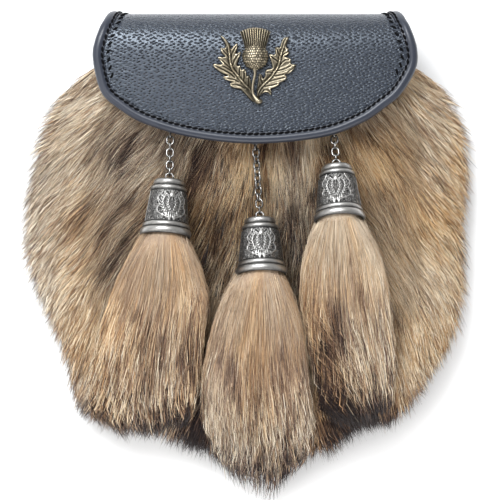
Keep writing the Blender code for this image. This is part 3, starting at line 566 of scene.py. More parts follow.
def strandTree(name, inputs):
    # Strands over a guide surface. Its attributes tipOffset and bendOffset say where a strand
    # goes, tone and warm are its colour, tipDark is the share of dark tips and darkFrom where
    # along the strand they begin, stout is its width, loose is how far the strands differ, and
    # thick is how densely the surface is set with them.
    tree, given, result = newTree(name, inputs)
    seed, look = given["seed"], strandLook

    def number(key):
        return named(tree, key)

    def vector(key):
        return namedVector(tree, key)

    def times(*values):
        product = values[0]
        for value in values[1:]:
            product = calc(tree, "MULTIPLY", product, value)
        return product

    def plus(one, other):
        return calc(tree, "ADD", one, other)

    def timesPlus(one, other, added):
        return calc(tree, "MULTIPLY_ADD", one, other, added)

    def total(*vectors):
        added = vectors[0]
        for one in vectors[1:]:
            added = vectorCalc(tree, "ADD", added, one)
        return added

    def chance(low, high, step):
        return randomValue(tree, low, high, plus(seed, float(step)))

    roots = addNode(
        tree, "GeometryNodeDistributePointsOnFaces",
        {"Mesh": given["Geometry"], "Density": times(number("thick"), given["density"]), "Seed": seed},
    )
    middles = geometryNode(
        tree, "DistributePointsOnFaces",
        {"Mesh": given["Geometry"], "Density": given["clumps"], "Seed": plus(seed, 1.0)},
    )
    place = geometryNode(tree, "InputPosition")
    nearest = geometryNode(
        tree, "SampleNearest", {"Geometry": middles, "Sample Position": place}, domain="POINT"
    )

    def ofClump(value, kind="FLOAT_VECTOR"):
        return sampled(tree, middles, value, nearest, kind)

    clumpShade = ofClump(randomValue(tree, -1.0, 1.0, 7), "FLOAT")
    clumpReach = ofClump(randomValue(tree, *look["clumpReach"], 9), "FLOAT")
    clumpShift = ofClump(randomValue(tree, (-1, -1, -1), (1, 1, 1), 5))
    aside = vectorCalc(tree, "SUBTRACT", ofClump(place), place)
    loose = number("loose")
    wild = times(given["spread"], loose)
    reach = chance(given["shortest"], look["longest"], 2)
    stray = scaled(tree, chance((-1, -1, -0.6), (1, 1, 0.9), 3), wild)
    shift = scaled(tree, clumpShift, times(wild, look["clumpShift"]))
    ownTip = total(scaled(tree, vector("tipOffset"), reach), stray)
    clumpTip = scaled(tree, ofClump(vector("tipOffset")), times(clumpReach, reach))
    clumpTip = total(clumpTip, aside, shift, scaled(tree, stray, look["ownStray"]))
    ownBend = scaled(tree, vector("bendOffset"), reach)
    clumpBend = total(ofClump(vector("bendOffset")), aside, scaled(tree, shift, look["clumpBend"]))
    bend = mixed(tree, times(given["pull"], 0.5), ownBend, clumpBend)
    raised = times(chance(-0.5, 0.5, 7), times(wild, look["arch"]))
    aslant = scaled(tree, chance((-1, -1, 0), (1, 1, 0), 10), wild)
    bend = total(bend, aslant, addNode(tree, "ShaderNodeCombineXYZ", {"Z": raised}).outputs[0])
    shade = timesPlus(chance(-1.0, 1.0, 4), given["toneSpread"], times(clumpShade, given["clumpTone"]))
    shade = timesPlus(shade, loose, number("tone"))
    thickened = calc(tree, "POWER", chance(0.0, 1.0, 6), 3.0)
    keptNumbers = {
        "rootTone": calc(tree, "MINIMUM", shade, 1.0),
        "warm": plus(number("warm"), chance(-look["warmth"], look["warmth"], 8)),
        "darkTip": calc(tree, "LESS_THAN", chance(0.0, 1.0, 5), number("tipDark")),
        "wide": timesPlus(thickened, *look["stout"]),
        "number": geometryNode(tree, "InputIndex"),
    }
    keptVectors = {
        "up": roots.outputs["Normal"],
        "root": place,
        "newTip": mixed(tree, given["pull"], ownTip, clumpTip),
        "newBend": bend,
    }
    points = roots.outputs["Points"]
    for kind, group in (("FLOAT", keptNumbers), ("FLOAT_VECTOR", keptVectors)):
        for key, value in group.items():
            points = keep(tree, points, key, value, kind)

    strand = geometryNode(
        tree, "MeshCone",
        {"Vertices": 3, "Side Segments": given["segments"], "Fill Segments": 1, "Radius Top": 0.0,
         "Radius Bottom": 1.0, "Depth": 1.0},
        fill_type="NGON",
    )
    strand = keep(tree, strand, "local", place, "FLOAT_VECTOR")
    grown = geometryNode(tree, "InstanceOnPoints", {"Points": points, "Instance": strand})
    grown = geometryNode(tree, "RealizeInstances", {"Geometry": grown})

    across, over, along = addNode(tree, "ShaderNodeSeparateXYZ", {0: vector("local")}).outputs
    rest = calc(tree, "SUBTRACT", 1.0, along)
    tipNow, up = vector("newTip"), vector("up")
    side = vectorCalc(tree, "NORMALIZE", vectorCalc(tree, "CROSS_PRODUCT", tipNow, up))
    taper = calc(tree, "POWER", rest, look["taper"])
    width = times(number("wide"), given["width"], number("stout"), taper)
    width = calc(tree, "DIVIDE", width, plus(rest, 0.001))
    where = total(
        vector("root"),
        scaled(tree, vector("newBend"), times(along, rest, 2.0)),
        scaled(tree, tipNow, times(along, along)),
        scaled(tree, side, times(across, width)),
        scaled(tree, up, times(over, width, look["flatness"])),
    )
    grown = geometryNode(tree, "SetPosition", {"Geometry": grown, "Position": where})

    # darker at the root, and a dark tip on some strands
    rootDark = times(calc(tree, "POWER", rest, 3.0), times(loose, -look["rootDark"]))
    past = addNode(
        tree, "ShaderNodeMapRange", {"Value": along, "From Min": number("darkFrom")}
    ).outputs[0]
    tone = plus(number("rootTone"), rootDark)
    tone = timesPlus(times(past, number("darkTip")), -look["tipDark"], tone)
    grown = keep(tree, grown, "tone", tone)

    # a place of its own on the bake map for each strand
    size = addNode(tree, "GeometryNodeAttributeDomainSize", {0: points}, component="POINTCLOUD")
    columns = calc(tree, "CEIL", calc(tree, "SQRT", size.outputs["Point Count"]))
    column = calc(tree, "MODULO", number("number"), columns)
    row = calc(tree, "FLOOR", calc(tree, "DIVIDE", number("number"), columns))
    u = calc(tree, "DIVIDE", plus(column, timesPlus(across, 0.35, 0.5)), columns)
    v = calc(tree, "DIVIDE", plus(row, timesPlus(along, 0.8, 0.1)), columns)
    flat = addNode(tree, "ShaderNodeCombineXYZ", {"X": u, "Y": v}).outputs[0]
    grown = keep(tree, grown, "OFBake", flat, "FLOAT2", "CORNER")
    grown = geometryNode(tree, "SetShadeSmooth", {"Geometry": grown})
    inputs = {"Geometry": grown, "Material": given["material"]}
    feed(tree, result, geometryNode(tree, "SetMaterial", inputs))
    return tree


guideLayers = ("tipOffset", "bendOffset", "thick", "loose", "tipDark", "darkFrom", "stout")
strandLayers = guideLayers + (
    "up", "root", "rootTone", "darkTip", "wide", "number", "newTip", "newBend", "local",
)


def dropLayers(thing, names):
    for layer in list(thing.data.attributes):
        if layer.name in names:
            thing.data.attributes.remove(layer)


def growStrands(name, guide, seed, settings, segments=2):
    # strands over a copy of the guide surface, as one plain mesh
    thing = copied(guide, name)
    inputs = strandInputs(settings, seed, segments)
    runTree(thing, strandTree(name + "Tree", inputs), inputs)
    dropLayers(thing, strandLayers)
    print(f"{name}: {len(thing.data.polygons) // (3 * segments + 1)} strands")
    return thing


# The leather, its binding and its stitches

leatherShape = {
    "thickness": 2.0,
    "foldY": 70.0,
    "foldZ": 27.5,
    "foldReach": 24.0,
    "foldRise": 25.0,
    "squareness": 3.0,
    "tipY": 31.6,
    "tipDrop": 1.0,
    "droop": 4.0,
    "droopWidth": 77.0,
    "ridgeHalf": 69.5,
    "bindingOver": 1.2,
    "gap": 0.3,
    "rows": (12, 40, 18),  # on the flap, round the fold and on the back
    "foldFrom": 71.0,  # the y where the fold's rows begin
    "columns": 49,
}
flapEdge = [
    # y, half width, lean
    (31.6, 0.0, 0.0),
    (34.6, 31.0, 0.8),
    (41.3, 52.0, -1.2),
    (48.8, 64.0, -1.9),
    (55.8, 71.8, -1.6),
    (67.5, 77.0, 0.0),
    (77.0, 77.7, 0.0),
    (87.3, 74.5, 0.0),
    (91.4, 72.3, 0.0),
]
backEdge = [
    # y, half width
    (84.0, 68.6),
    (66.0, 70.6),
    (40.0, 77.0),
    (10.0, 82.0),
    (-18.0, 84.0),
    (-50.0, 80.0),
    (-75.0, 66.5),
    (-88.0, 42.0),
    (-92.0, 0.0),
]
flapCornerRow = 3
backCornerRow = 6
edgeSamples = 16


def leatherPath():
    shape = leatherShape
    frontY = np.linspace(shape["tipY"] - 6.0, shape["foldY"], 60)
    sink = (shape["foldY"] - frontY) / (shape["foldY"] - shape["tipY"])
    frontZ = shape["foldZ"] + shape["foldRise"] - shape["tipDrop"] * sink**2
    angle = np.linspace(math.pi / 2, -math.pi / 2, 161)[1:-1]
    power = 2 / shape["squareness"]
    sine = np.sin(angle)
    foldY = shape["foldY"] + shape["foldReach"] * np.cos(angle) ** power
    foldZ = shape["foldZ"] + shape["foldRise"] * np.sign(sine) * np.abs(sine) ** power
    backY = np.linspace(shape["foldY"], backEdge[-1][0] - 6.0, 60)
    backZ = np.full(60, shape["foldZ"] - shape["foldRise"])
    return np.concatenate([frontY, foldY, backY]), np.concatenate([frontZ, foldZ, backZ])


pathY, pathZ = leatherPath()
pathRun = np.concatenate([[0.0], np.cumsum(np.hypot(np.diff(pathY), np.diff(pathZ)))])
ridge = int(np.argmax(pathY))
ridgeRun = pathRun[ridge]
slopeY, slopeZ = np.gradient(pathY, pathRun), np.gradient(pathZ, pathRun)


def flapRun(y):
    return np.interp(y, pathY[: ridge + 1], pathRun[: ridge + 1])


def backRun(y):
    return np.interp(-np.asarray(y), -pathY[ridge:], pathRun[ridge:])


def droop(x, run):
    share = np.clip((ridgeRun - run) / 40.0, 0.0, 1.0)
    side = leatherShape["droop"] * (x / leatherShape["droopWidth"]) ** 2
    return side * share * share * (3 - 2 * share)


def onLeather(x, run, lift=0.0):
    # points on the leather's middle, lifted towards its grain side
    x, run = np.asarray(x, float), np.asarray(run, float)
    aheadY, aheadZ = np.interp(run, pathRun, slopeY), np.interp(run, pathRun, slopeZ)
    size = np.hypot(aheadY, aheadZ)
    y = np.interp(run, pathRun, pathY) - aheadZ / size * lift
    z = np.interp(run, pathRun, pathZ) + aheadY / size * lift - droop(x, run)
    return np.stack(np.broadcast_arrays(x, y, z), -1)


def leatherOutline():
    # the finished edge of the spread-out leather, as x and run, with the leather on its left
    rows = [(half, lean, flapRun(y)) for y, half, lean in flapEdge]
    rows.append((leatherShape["ridgeHalf"], 0.0, ridgeRun))
    rows += [(half, 0.0, backRun(y)) for y, half in backEdge]
    right = [(lean + half, float(run)) for half, lean, run in rows]
    left = [(lean - half, float(run)) for half, lean, run in rows]
    return smoothLine(right + left[-2:0:-1], edgeSamples, closed=True)


finishedEdge = leatherOutline()


def insetEdge(distance):
    return finishedEdge + leftOf(finishedEdge, True) * distance


leatherEdge = insetEdge(leatherShape["bindingOver"] + leatherShape["gap"])


def filledGrid(near, far, left, right):
    # points between four edges, by rows
    v = np.linspace(0, 1, len(left))[:, None, None]
    u = np.linspace(0, 1, len(near))[None, :, None]
    corners = (1 - v) * ((1 - u) * near[0] + u * near[-1]) + v * ((1 - u) * far[0] + u * far[-1])
    return (1 - v) * near + v * far + (1 - u) * left[:, None] + u * right[:, None] - corners


def makeLeather():
    values, line, total = leatherShape, leatherEdge, len(leatherEdge)
    flapCorner = flapCornerRow * edgeSamples
    backCorner = (len(flapEdge) + 1 + backCornerRow) * edgeSamples
    near = np.concatenate([line[total - flapCorner:], line[: flapCorner + 1]])
    right = line[flapCorner: backCorner + 1]
    far = line[backCorner: total - backCorner + 1][::-1]
    left = line[total - backCorner: total - flapCorner + 1][::-1]
    foldStart, foldEnd = float(flapRun(values["foldFrom"])), float(backRun(values["foldFrom"]))

    def atRuns(side):
        stops = [side[0, 1], foldStart, foldEnd, side[-1, 1]]
        runs = [np.linspace(a, b, n + 1)[:-1] for a, b, n in zip(stops, stops[1:], values["rows"])]
        runs = np.concatenate(runs + [[stops[-1]]])
        return np.stack([np.interp(runs, side[:, 1], side[:, 0]), runs], 1)

    near, far = evenly(near, values["columns"]), evenly(far, values["columns"])
    grid = filledGrid(near, far, atRuns(left), atRuns(right))
    points = onLeather(grid[..., 0], grid[..., 1]).reshape(-1, 3)
    along, across = turned(grid[..., 0], grid[..., 1], math.radians(grain["rowTurn"]))
    across = across / grain["rowPitch"]
    cells = np.stack([along / grain["pitch"] + across / 2, across, 0 * across], -1).reshape(-1, 3)
    flap = newMesh("flapLeather", points, gridFaces(*grid.shape[:2]), leatherBlack,
                   {"grainPlace": cells})
    wall = flap.modifiers.new("wall", "SOLIDIFY")
    wall.thickness = values["thickness"] * mm
    wall.offset = 0.0
    wall.use_even_offset = True
    return finishPiece(pointOut(plainMesh(flap)), "grained_leather", "back_and_flap")


binding = {
    "inner": -4.0,  # outwards from the leather's edge to the seam
    "over": 1.5,
    "half": 2.5,  # of the bead's height
    "slot": 1.45,
    "lining": 0.4,
    "seam": 1.5,  # the flat margin that the stitches go through
    "seamLift": 1.72,
    "seamRound": 0.3,
    "step": 0.08,
    "shoulder": 1.5,  # from the seam to the top of the bead
}


def bindingSection():
    # out from the leather's edge, and lift off its middle: a flat seam, then a round bead
    values = binding
    inner, over, height, slot = (values[key] for key in ("inner", "over", "half", "slot"))
    seamLift, soft, step = values["seamLift"], values["seamRound"], values["step"]
    seamEnd = inner + values["seam"]
    middle = seamEnd + values["shoulder"]
    upper = [(inner, slot), (inner + 0.12, seamLift - 0.06), (inner + soft, seamLift),
             (seamEnd - soft, seamLift), (seamEnd, seamLift + step)]
    for share in (k / 7 for k in range(1, 8)):
        rise = (height - seamLift - step) * math.sin(share * math.pi / 2)
        upper.append((seamEnd + values["shoulder"] * share, seamLift + step + rise))
    bead = [(middle + (over - middle) * math.sin(math.pi * k / 16) ** 0.85,
             height * math.cos(math.pi * k / 16)) for k in range(1, 16)]
    lower = [(out, -lift) for out, lift in upper[::-1]]
    return upper + bead + lower + [(values["lining"], -slot), (values["lining"], slot)]


def makeBinding():
    # a rolled edge round the whole leather, slotted for it
    edge = leatherEdge[::2]
    normals = -leftOf(edge, True)
    grid = np.stack([onLeather(*(edge + normals * out).T, lift) for out, lift in bindingSection()], 1)
    faces = gridFaces(*grid.shape[:2], wrap=True, ring=True)
    piece = newMesh("rolledBinding", grid.reshape(-1, 3), faces, bindingBlack)
    return finishPiece(pointOut(piece), "binding_leather", "edge_binding")


makeLeather()
makeBinding()
print("leather and binding made")


stitches = {
    "edge": {
        "inset": 4.7,  # from the finished edge, on the binding's seam
        "pitch": 2.95,
        "length": 3.1,
        "thread": 0.62,
        "slant": 9.0,  # degrees: the thread looks like a rope
    },
    "corner": {"inset": 7.6, "pitch": 3.75, "length": 3.0, "thread": 0.6, "slant": 38.0},
    "cornerSpan": (4.6, 9.3),  # in rows of the flap's edge
    "proud": 0.12,  # the thread's middle above the leather
}


def stitchInputs(thread, length):
    return [
        ("Thread", "NodeSocketFloat", thread * mm),
        ("Length", "NodeSocketFloat", length * mm),
        ("Material", "NodeSocketMaterial", threadBlack),
    ]


def stitchTree():
    tree, given, result = newTree("stitchTree", stitchInputs(0.0, 0.0))
    capsule = geometryNode(tree, "MeshUVSphere", {"Segments": 8, "Rings": 8, "Radius": 1.0})
    half, thread = calc(tree, "MULTIPLY", given["Length"], 0.5), given["Thread"]
    size = addNode(tree, "ShaderNodeCombineXYZ", {"X": half, "Y": thread, "Z": thread}).outputs[0]
    placeCopies(tree, given, result, capsule, size, smooth=True)
    return tree


def stitchRow(tree, name, line, slant, lift, thread, length):
    # line is x and run on the spread-out leather, with a stitch centred at each point
    way = np.stack(turned(*aheadOf(line).T, math.radians(slant)), 1)
    middle, above = onLeather(*line.T, lift), onLeather(*line.T, lift + 1.0)
    start, end = onLeather(*(line - way * 0.5).T, lift), onLeather(*(line + way * 0.5).T, lift)
    row = newMesh(name, middle, [], attributes={"ahead": end - start, "out": above - middle},
                  smooth=False)
    return runTree(row, tree, stitchInputs(thread, length))


def spaced(line, pitch):
    return evenly(line, int(round(reachOf(line)[-1] / pitch)) + 1)


def makeStitches():
    tree, count = stitchTree(), len(finishedEdge)
    edge, corner = insetEdge(stitches["edge"]["inset"]), insetEdge(stitches["corner"]["inset"])
    first, last = (int(row * edgeSamples) for row in stitches["cornerSpan"])
    ridgeIndex = len(flapEdge) * edgeSamples
    flapLine = np.concatenate([edge[count - ridgeIndex:], edge[: ridgeIndex + 1]])
    right, left = corner[first: last + 1], corner[count - last: count - first + 1][::-1]
    surface = leatherShape["thickness"] / 2
    rows = []
    for name, kind, line, side, lift in (
        ("edgeStitches", "edge", flapLine, 1, binding["seamLift"]),
        ("cornerRight", "corner", right, 1, surface),
        ("cornerLeft", "corner", left, -1, surface),
    ):
        values = stitches[kind]
        line = spaced(line, values["pitch"])
        rows.append(stitchRow(tree, name, line, side * values["slant"], lift + stitches["proud"],
                              values["thread"], values["length"]))
    return finishPiece(joined("flapStitches", rows), "binding_leather")


makeStitches()
print("stitches made")


# Cones, chains and tassels

coneShape = {
    "height": 28.6,
    "frontColumns": 150,
    "backColumns": 24,
    "frontAngle": 98.0,  # degrees each side of the middle
    "borderAngle": 85.0,
    "panelTop": 6.8,
    "panelFoot": 22.3,
    "panelRows": 66,
    "unroll": 9.5,  # the radius that turns an angle into millimetres across
    "relief": 0.6,
    "panelRadius": 8.3,  # the panel is the outer wall past this radius
    "borderHeight": 0.9,
    "borderHalf": 0.3,
}
coneProfile = [
    # radius, depth below the top, relief shade
    (0.0, 0.9, 0.35),
    (4.6, 0.9, 0.4),
    (5.8, 1.0, 0.6),
    (6.8, 1.1, 0.85),
    (7.3, 1.6, 0.85),
    (7.45, 2.4, 0.8),
    (7.4, 3.3, 0.65),
    (7.1, 3.8, 0.3),
    (7.05, 4.0, 0.05),
    (7.35, 4.2, 0.3),
    (8.1, 4.4, 0.7),
    (8.6, 4.9, 0.85),
    (8.7, 5.7, 0.75),
    (8.45, 6.3, 0.3),
    (8.45, 6.8, 0.05),
    (10.4, 22.3, 0.05),
    (10.6, 22.5, 0.3),
    (11.15, 22.8, 0.8),
    (11.35, 23.6, 0.85),
    (11.2, 24.3, 0.6),
    (10.95, 24.7, 0.1),
    (11.15, 25.0, 0.2),
    (11.8, 25.3, 0.7),
    (12.2, 25.8, 0.85),
    (12.3, 26.7, 0.85),
    (12.2, 27.6, 0.7),
    (11.9, 28.2, 0.4),
    (11.4, 28.6, 0.15),
    (10.8, 28.0, 0.05),
    (9.9, 18.0, 0.05),
    (0.0, 18.0, 0.0),
]


tassels = {
    "left": {
        "top": (-41.0, 15.0, 50.5),
        "lean": -3.7,
        "rise": 11.0,
        "links": 8,
        "anchorX": -40.6,
        "twist": 0.0,
        "hair": [
            # y, left, right, underside at least, thickness
            (-14.4, -55.4, -31.4, 46.0, 21.5),
            (-24.0, -61.4, -27.0, 44.5, 20.5),
            (-33.6, -65.8, -23.8, 43.0, 19.0),
            (-43.2, -69.3, -21.8, 41.5, 17.5),
            (-62.4, -75.0, -25.0, 0.0, 14.0),
            (-81.6, -79.0, -27.0, 0.0, 10.0),
            (-91.2, -80.5, -29.5, 0.0, 8.0),
        ],
        "tipY": -107.0,
        "pointed": 0.35,
        "sweep": 0.1,
        "turn": -15.0,
        "tones": [(0.0, 0.6), (0.3, 0.62), (0.5, 0.64), (0.75, 0.7), (1.0, 0.68)],
        "warmth": [(0.0, 0.25), (0.4, 0.55), (1.0, 0.5)],
        "patches": [
            # x, y, half width, half length, lean in degrees, change of tone
            (-30.0, -66.0, 4.5, 20.0, 0.0, -0.34),
            (-51.0, -44.0, 1.8, 8.0, 12.0, -0.35),
            (-60.0, -54.0, 2.5, 10.0, -15.0, -0.2),
            (-42.0, -52.0, 2.0, 9.0, 0.0, -0.2),
            (-49.0, -70.0, 2.5, 9.0, 0.0, -0.24),
            (-40.0, -96.0, 9.0, 8.0, 0.0, -0.4),
            (-72.0, -66.0, 5.0, 20.0, -10.0, 0.12),
            (-35.0, -34.0, 4.0, 9.0, 6.0, 0.12),
        ],
        "seed": 31,
    },
    "centre": {
        "top": (2.3, -3.4, 50.5),
        "lean": 1.5,
        "rise": 13.0,
        "links": 12,
        "anchorX": 0.0,
        "twist": 42.0,
        "hair": [
            # y, left, right, underside at least, thickness
            (-33.6, -11.6, 15.0, 46.0, 21.5),
            (-43.2, -16.2, 19.4, 44.5, 20.5),
            (-52.8, -19.2, 22.0, 43.0, 19.0),
            (-62.4, -22.0, 23.4, 41.5, 17.5),
            (-81.6, -25.0, 25.5, 0.0, 14.5),
            (-100.8, -25.0, 28.0, 0.0, 11.0),
            (-112.0, -21.0, 27.0, 0.0, 8.5),
        ],
        "tipY": -136.0,
        "pointed": 0.7,
        "sweep": 0.0,
        "turn": -3.0,
        "tones": [(0.0, 0.65), (0.25, 0.61), (0.42, 0.53), (0.6, 0.7), (1.0, 0.78)],
        "warmth": [(0.0, 0.15), (0.3, 0.35), (0.5, 0.25), (1.0, 0.12)],
        "patches": [
            # x, y, half width, half length, lean in degrees, change of tone
            (-8.0, -40.0, 5.0, 8.0, 0.0, 0.06),
            (15.0, -62.0, 5.0, 9.0, 25.0, -0.16),
            (-10.0, -76.0, 2.5, 12.0, 0.0, -0.26),
            (-1.0, -90.0, 2.5, 12.0, 0.0, -0.28),
            (-17.0, -84.0, 3.0, 14.0, 0.0, 0.16),
            (3.5, -84.0, 2.2, 16.0, 0.0, 0.16),
            (24.0, -86.0, 2.5, 16.0, 8.0, 0.14),
            (14.0, -104.0, 2.0, 14.0, 5.0, -0.3),
            (10.0, -122.0, 4.0, 9.0, 0.0, -0.35),
        ],
        "seed": 47,
    },
    "right": {
        "top": (38.9, 21.6, 50.5),
        "lean": 3.0,
        "rise": 18.0,
        "links": 6,
        "anchorX": 37.6,
        "twist": 0.0,
        "hair": [
            # y, left, right, underside at least, thickness
            (-6.6, 28.3, 51.8, 46.0, 21.5),
            (-14.4, 25.2, 56.8, 44.5, 20.0),
            (-28.8, 22.0, 61.9, 42.5, 17.5),
            (-48.0, 21.8, 64.5, 0.0, 14.0),
            (-67.2, 24.5, 66.5, 0.0, 10.5),
            (-80.0, 29.0, 67.0, 0.0, 7.5),
        ],
        "tipY": -104.0,
        "pointed": 0.4,
        "sweep": 0.38,
        "turn": 7.0,
        "tones": [(0.0, 0.78), (0.2, 0.66), (0.4, 0.57), (0.8, 0.58), (1.0, 0.58)],
        "warmth": [(0.0, -0.1), (0.3, 0.4), (1.0, 0.5)],
        "patches": [
            # x, y, half width, half length, lean in degrees, change of tone
            (48.0, -27.0, 1.6, 5.0, 30.0, -0.5),
            (38.5, -36.0, 3.0, 4.0, 20.0, -0.4),
            (38.8, -48.0, 2.4, 9.0, 0.0, -0.55),
            (34.0, -58.0, 3.0, 8.0, -6.0, -0.35),
            (30.0, -76.0, 4.0, 16.0, 0.0, -0.5),
            (44.0, -91.0, 13.0, 14.0, 10.0, -0.8),
            (26.0, -16.0, 3.0, 12.0, 0.0, 0.1),
            (55.0, -22.0, 3.5, 14.0, 20.0, 0.12),
            (55.0, -60.0, 7.0, 16.0, 25.0, 0.12),
        ],
        "seed": 59,
    },
}


chainShape = {
    "wire": 0.46,
    "bend": 1.6,
    "straight": 0.475,
    "pitch": 3.1,
    "gap": 0.3,
    "eyeWire": 0.45,
    "eyeRadius": 1.9,
    "eyeLift": 0.6,
    "eyeSteps": 28,
    "eyeSides": 10,
    "linkSteps": 24,
    "linkSides": 8,
    "anchorHeight": 44.3,
    "cadWire": 0.375,
}
coneStrokes = [
    # points (across, depth), half width, height; each is on both sides of the middle
    ([(0.0, 9.4), (0.0, 9.6)], 1.4, 1.15),
    ([(0.0, 8.1), (0.0, 7.1)], 0.28, 0.8),
    ([(0.0, 10.8), (0.15, 12.6)], 0.24, 0.6),
    ([(0.4, 8.2), (1.0, 7.1)], 0.26, 0.8),
    ([(1.4, 8.7), (2.6, 7.4)], 0.26, 0.75),
    ([(1.6, 9.8), (3.0, 9.4), (3.6, 7.8)], 0.28, 0.75),
    ([(4.8, 7.3), (5.4, 8.9), (7.2, 10.9), (7.0, 12.9), (6.0, 14.6), (7.0, 16.3), (6.3, 18.3),
      (3.6, 20.0), (0.8, 21.4)], 0.3, 1.0),
    ([(5.4, 8.9), (6.8, 8.8)], 0.26, 0.8),
    ([(7.2, 10.9), (8.6, 10.4)], 0.26, 0.8),
    ([(6.0, 14.6), (8.2, 14.2)], 0.26, 0.8),
    ([(7.0, 16.3), (8.6, 15.6)], 0.26, 0.8),
    ([(6.3, 18.3), (8.4, 18.0)], 0.26, 0.8),
]
coneSprays = [
    # the stem's points (across, depth), pitch, leaf length, half width, height
    ([(0.3, 21.0), (2.6, 18.6), (4.5, 15.2), (5.0, 12.4), (3.8, 9.8)], 1.35, 1.7, 0.27, 0.9),
    ([(0.3, 18.6), (1.5, 16.0), (2.2, 13.4), (1.8, 11.2)], 1.2, 1.25, 0.25, 0.85),
    ([(7.0, 21.2), (9.6, 18.4), (11.0, 14.6), (10.8, 10.6), (9.4, 7.8)], 1.6, 1.6, 0.27, 0.5),
]


def sprayStrokes(stem, pitch, leaf, half, rise):
    # a stem with leaves in pairs, that point on along it
    stem = smoothLine(stem)
    line = evenly(stem, int(reachOf(stem)[-1] / pitch) + 1)
    strokes = [(line, half * 0.8, rise * 0.75)]
    for point, way in zip(line, aheadOf(line)):
        for side in (-1, 1):
            out = np.array(turned(*way, math.radians(48 * side)))
            tip = point + out * leaf * 0.72 + way * leaf * 0.3
            strokes.append((np.array([point + out * 0.25, tip]), half, rise))
    return strokes


def strokeHeight(across, depth):
    # the highest of the rounded strokes at each place
    strokes = [(smoothLine(line, 5) if len(line) > 2 else np.array(line), half, rise)
               for line, half, rise in coneStrokes]
    for spray in coneSprays:
        strokes += sprayStrokes(*spray)
    height = np.zeros_like(across)
    for line, half, rise in strokes:
        away = toPolyline(np.abs(across), depth, line)
        height = np.maximum(height, rise * np.sqrt(np.clip(1 - (away / half) ** 2, 0, 1)))
    return height


class Hanger:
    # where a cone lies: its top, its axis towards the foot, and the directions across it

    def __init__(self, row):
        lean, rise = math.radians(row["lean"]), math.radians(row["rise"])
        flat = Vector((math.sin(lean), -math.cos(lean), 0.0))
        self.top = Vector(row["top"])
        self.axis = flat * math.cos(rise) + Vector((0.0, 0.0, math.sin(rise)))
        self.side = self.axis.cross(Vector((0.0, 0.0, 1.0))).normalized()
        self.face = self.side.cross(self.axis)
        self.eyeTop = self.top - self.axis * (chainShape["eyeLift"] + chainShape["eyeRadius"])

    def placed(self, points):
        # points (across, forward, depth) in space
        turn = np.stack([np.array(self.side), np.array(self.face), np.array(self.axis)])
        return np.array(self.top) + np.asarray(points) @ turn


def conePoints():
    # the cone's grid of points and its relief shade; only its front is finely divided
    values = coneShape
    profile = []
    for one, other in zip(coneProfile, coneProfile[1:]):
        isPanel = one[1] == values["panelTop"]
        steps = values["panelRows"] if isPanel else 6 if other[1] < one[1] - 5 else 1
        profile += [tuple(a + (b - a) * k / steps for a, b in zip(one, other)) for k in range(steps)]
    profile.append(coneProfile[-1])
    profile = np.array(profile)
    front = math.radians(values["frontAngle"])
    turns = np.concatenate([
        np.linspace(-front, front, values["frontColumns"], endpoint=False),
        np.linspace(front, 2 * math.pi - front, values["backColumns"], endpoint=False),
    ])
    turns = np.where(turns > math.pi, turns - 2 * math.pi, turns)
    radius, depth, shade = (np.repeat(profile[:, k][:, None], len(turns), 1) for k in range(3))
    turn = np.repeat(turns[None, :], len(profile), 0)
    border = math.radians(values["borderAngle"])
    across = turn * values["unroll"]
    edge = np.abs(np.abs(turn) - border) * values["unroll"]
    height = strokeHeight(across, depth) * (np.abs(turn) < border)
    lineRise = np.sqrt(np.clip(1 - (edge / values["borderHalf"]) ** 2, 0, 1))
    height = np.maximum(height, values["borderHeight"] * lineRise)
    height *= 1 - np.exp(-((edge - 0.7) / 0.3) ** 2)
    ends = smoothStep((depth - values["panelTop"] - 0.05) / 0.4)
    ends *= smoothStep((values["panelFoot"] - 0.05 - depth) / 0.4)
    onPanel = ends * (radius > values["panelRadius"])
    radius = radius + values["relief"] * height * onPanel
    shade = np.where(onPanel > 0.02, np.clip(height * 1.25 - 0.15, 0.0, 1.0) * onPanel, shade)
    place = np.stack([across, depth, onPanel * (np.abs(turn) < border) * (height < 0.3)], -1)
    points = np.stack([radius * np.sin(turn), radius * np.cos(turn), depth], -1)
    return points, shade, place


def tube(line, radius, sides=10, closed=False):
    # rings of points round a line, as a grid
    ahead = aheadOf(line, closed)
    normal = np.cross(ahead, [0.0, 0.0, 1.0])
    plain = np.linalg.norm(normal, axis=1) < 0.2
    normal[plain] = np.cross(ahead[plain], [1.0, 0.0, 0.0])
    normal /= np.linalg.norm(normal, axis=1)[:, None]
    over = np.cross(normal, ahead)
    turns = fullTurn(sides)[:, None]
    radius = np.broadcast_to(radius, len(line))[:, None, None]
    return line[:, None] + radius * (normal[:, None] * np.cos(turns) + over[:, None] * np.sin(turns))


def makeCone(side, row, hanger):
    points, shade, place = conePoints()
    across, forward = turned(points[..., 0], points[..., 1], -math.radians(row["turn"]))
    points = np.stack([across, forward, points[..., 2]], -1).reshape(-1, 3)
    body = newMesh("cone", hanger.placed(points), gridFaces(*shade.shape, wrap=True), antiqueSilver,
                   {"relief": shade.ravel(), "panelPlace": place.reshape(-1, 3)})
    values = chainShape
    turns = fullTurn(values["eyeSteps"])
    circle = np.stack([np.sin(turns), 0 * turns, np.cos(turns)], 1) * values["eyeRadius"]
    circle[:, 2] -= values["eyeLift"]
    ring = tube(circle, values["eyeWire"], values["eyeSides"], closed=True)
    faces = gridFaces(*ring.shape[:2], wrap=True, ring=True)
    ring = hanger.placed(ring.reshape(-1, 3))
    eye = newMesh("eye", ring, faces, antiqueSilver, {"relief": np.full(len(ring), 0.7)})
    cone = pointOut(joined("tasselCone" + side.title(), [body, eye]))
    return finishPiece(cone, "antique_silver", "tassel_cone_" + side)


def linkInputs(link):
    return [("Link", "NodeSocketObject", link), ("Material", "NodeSocketMaterial", chainSteel)]


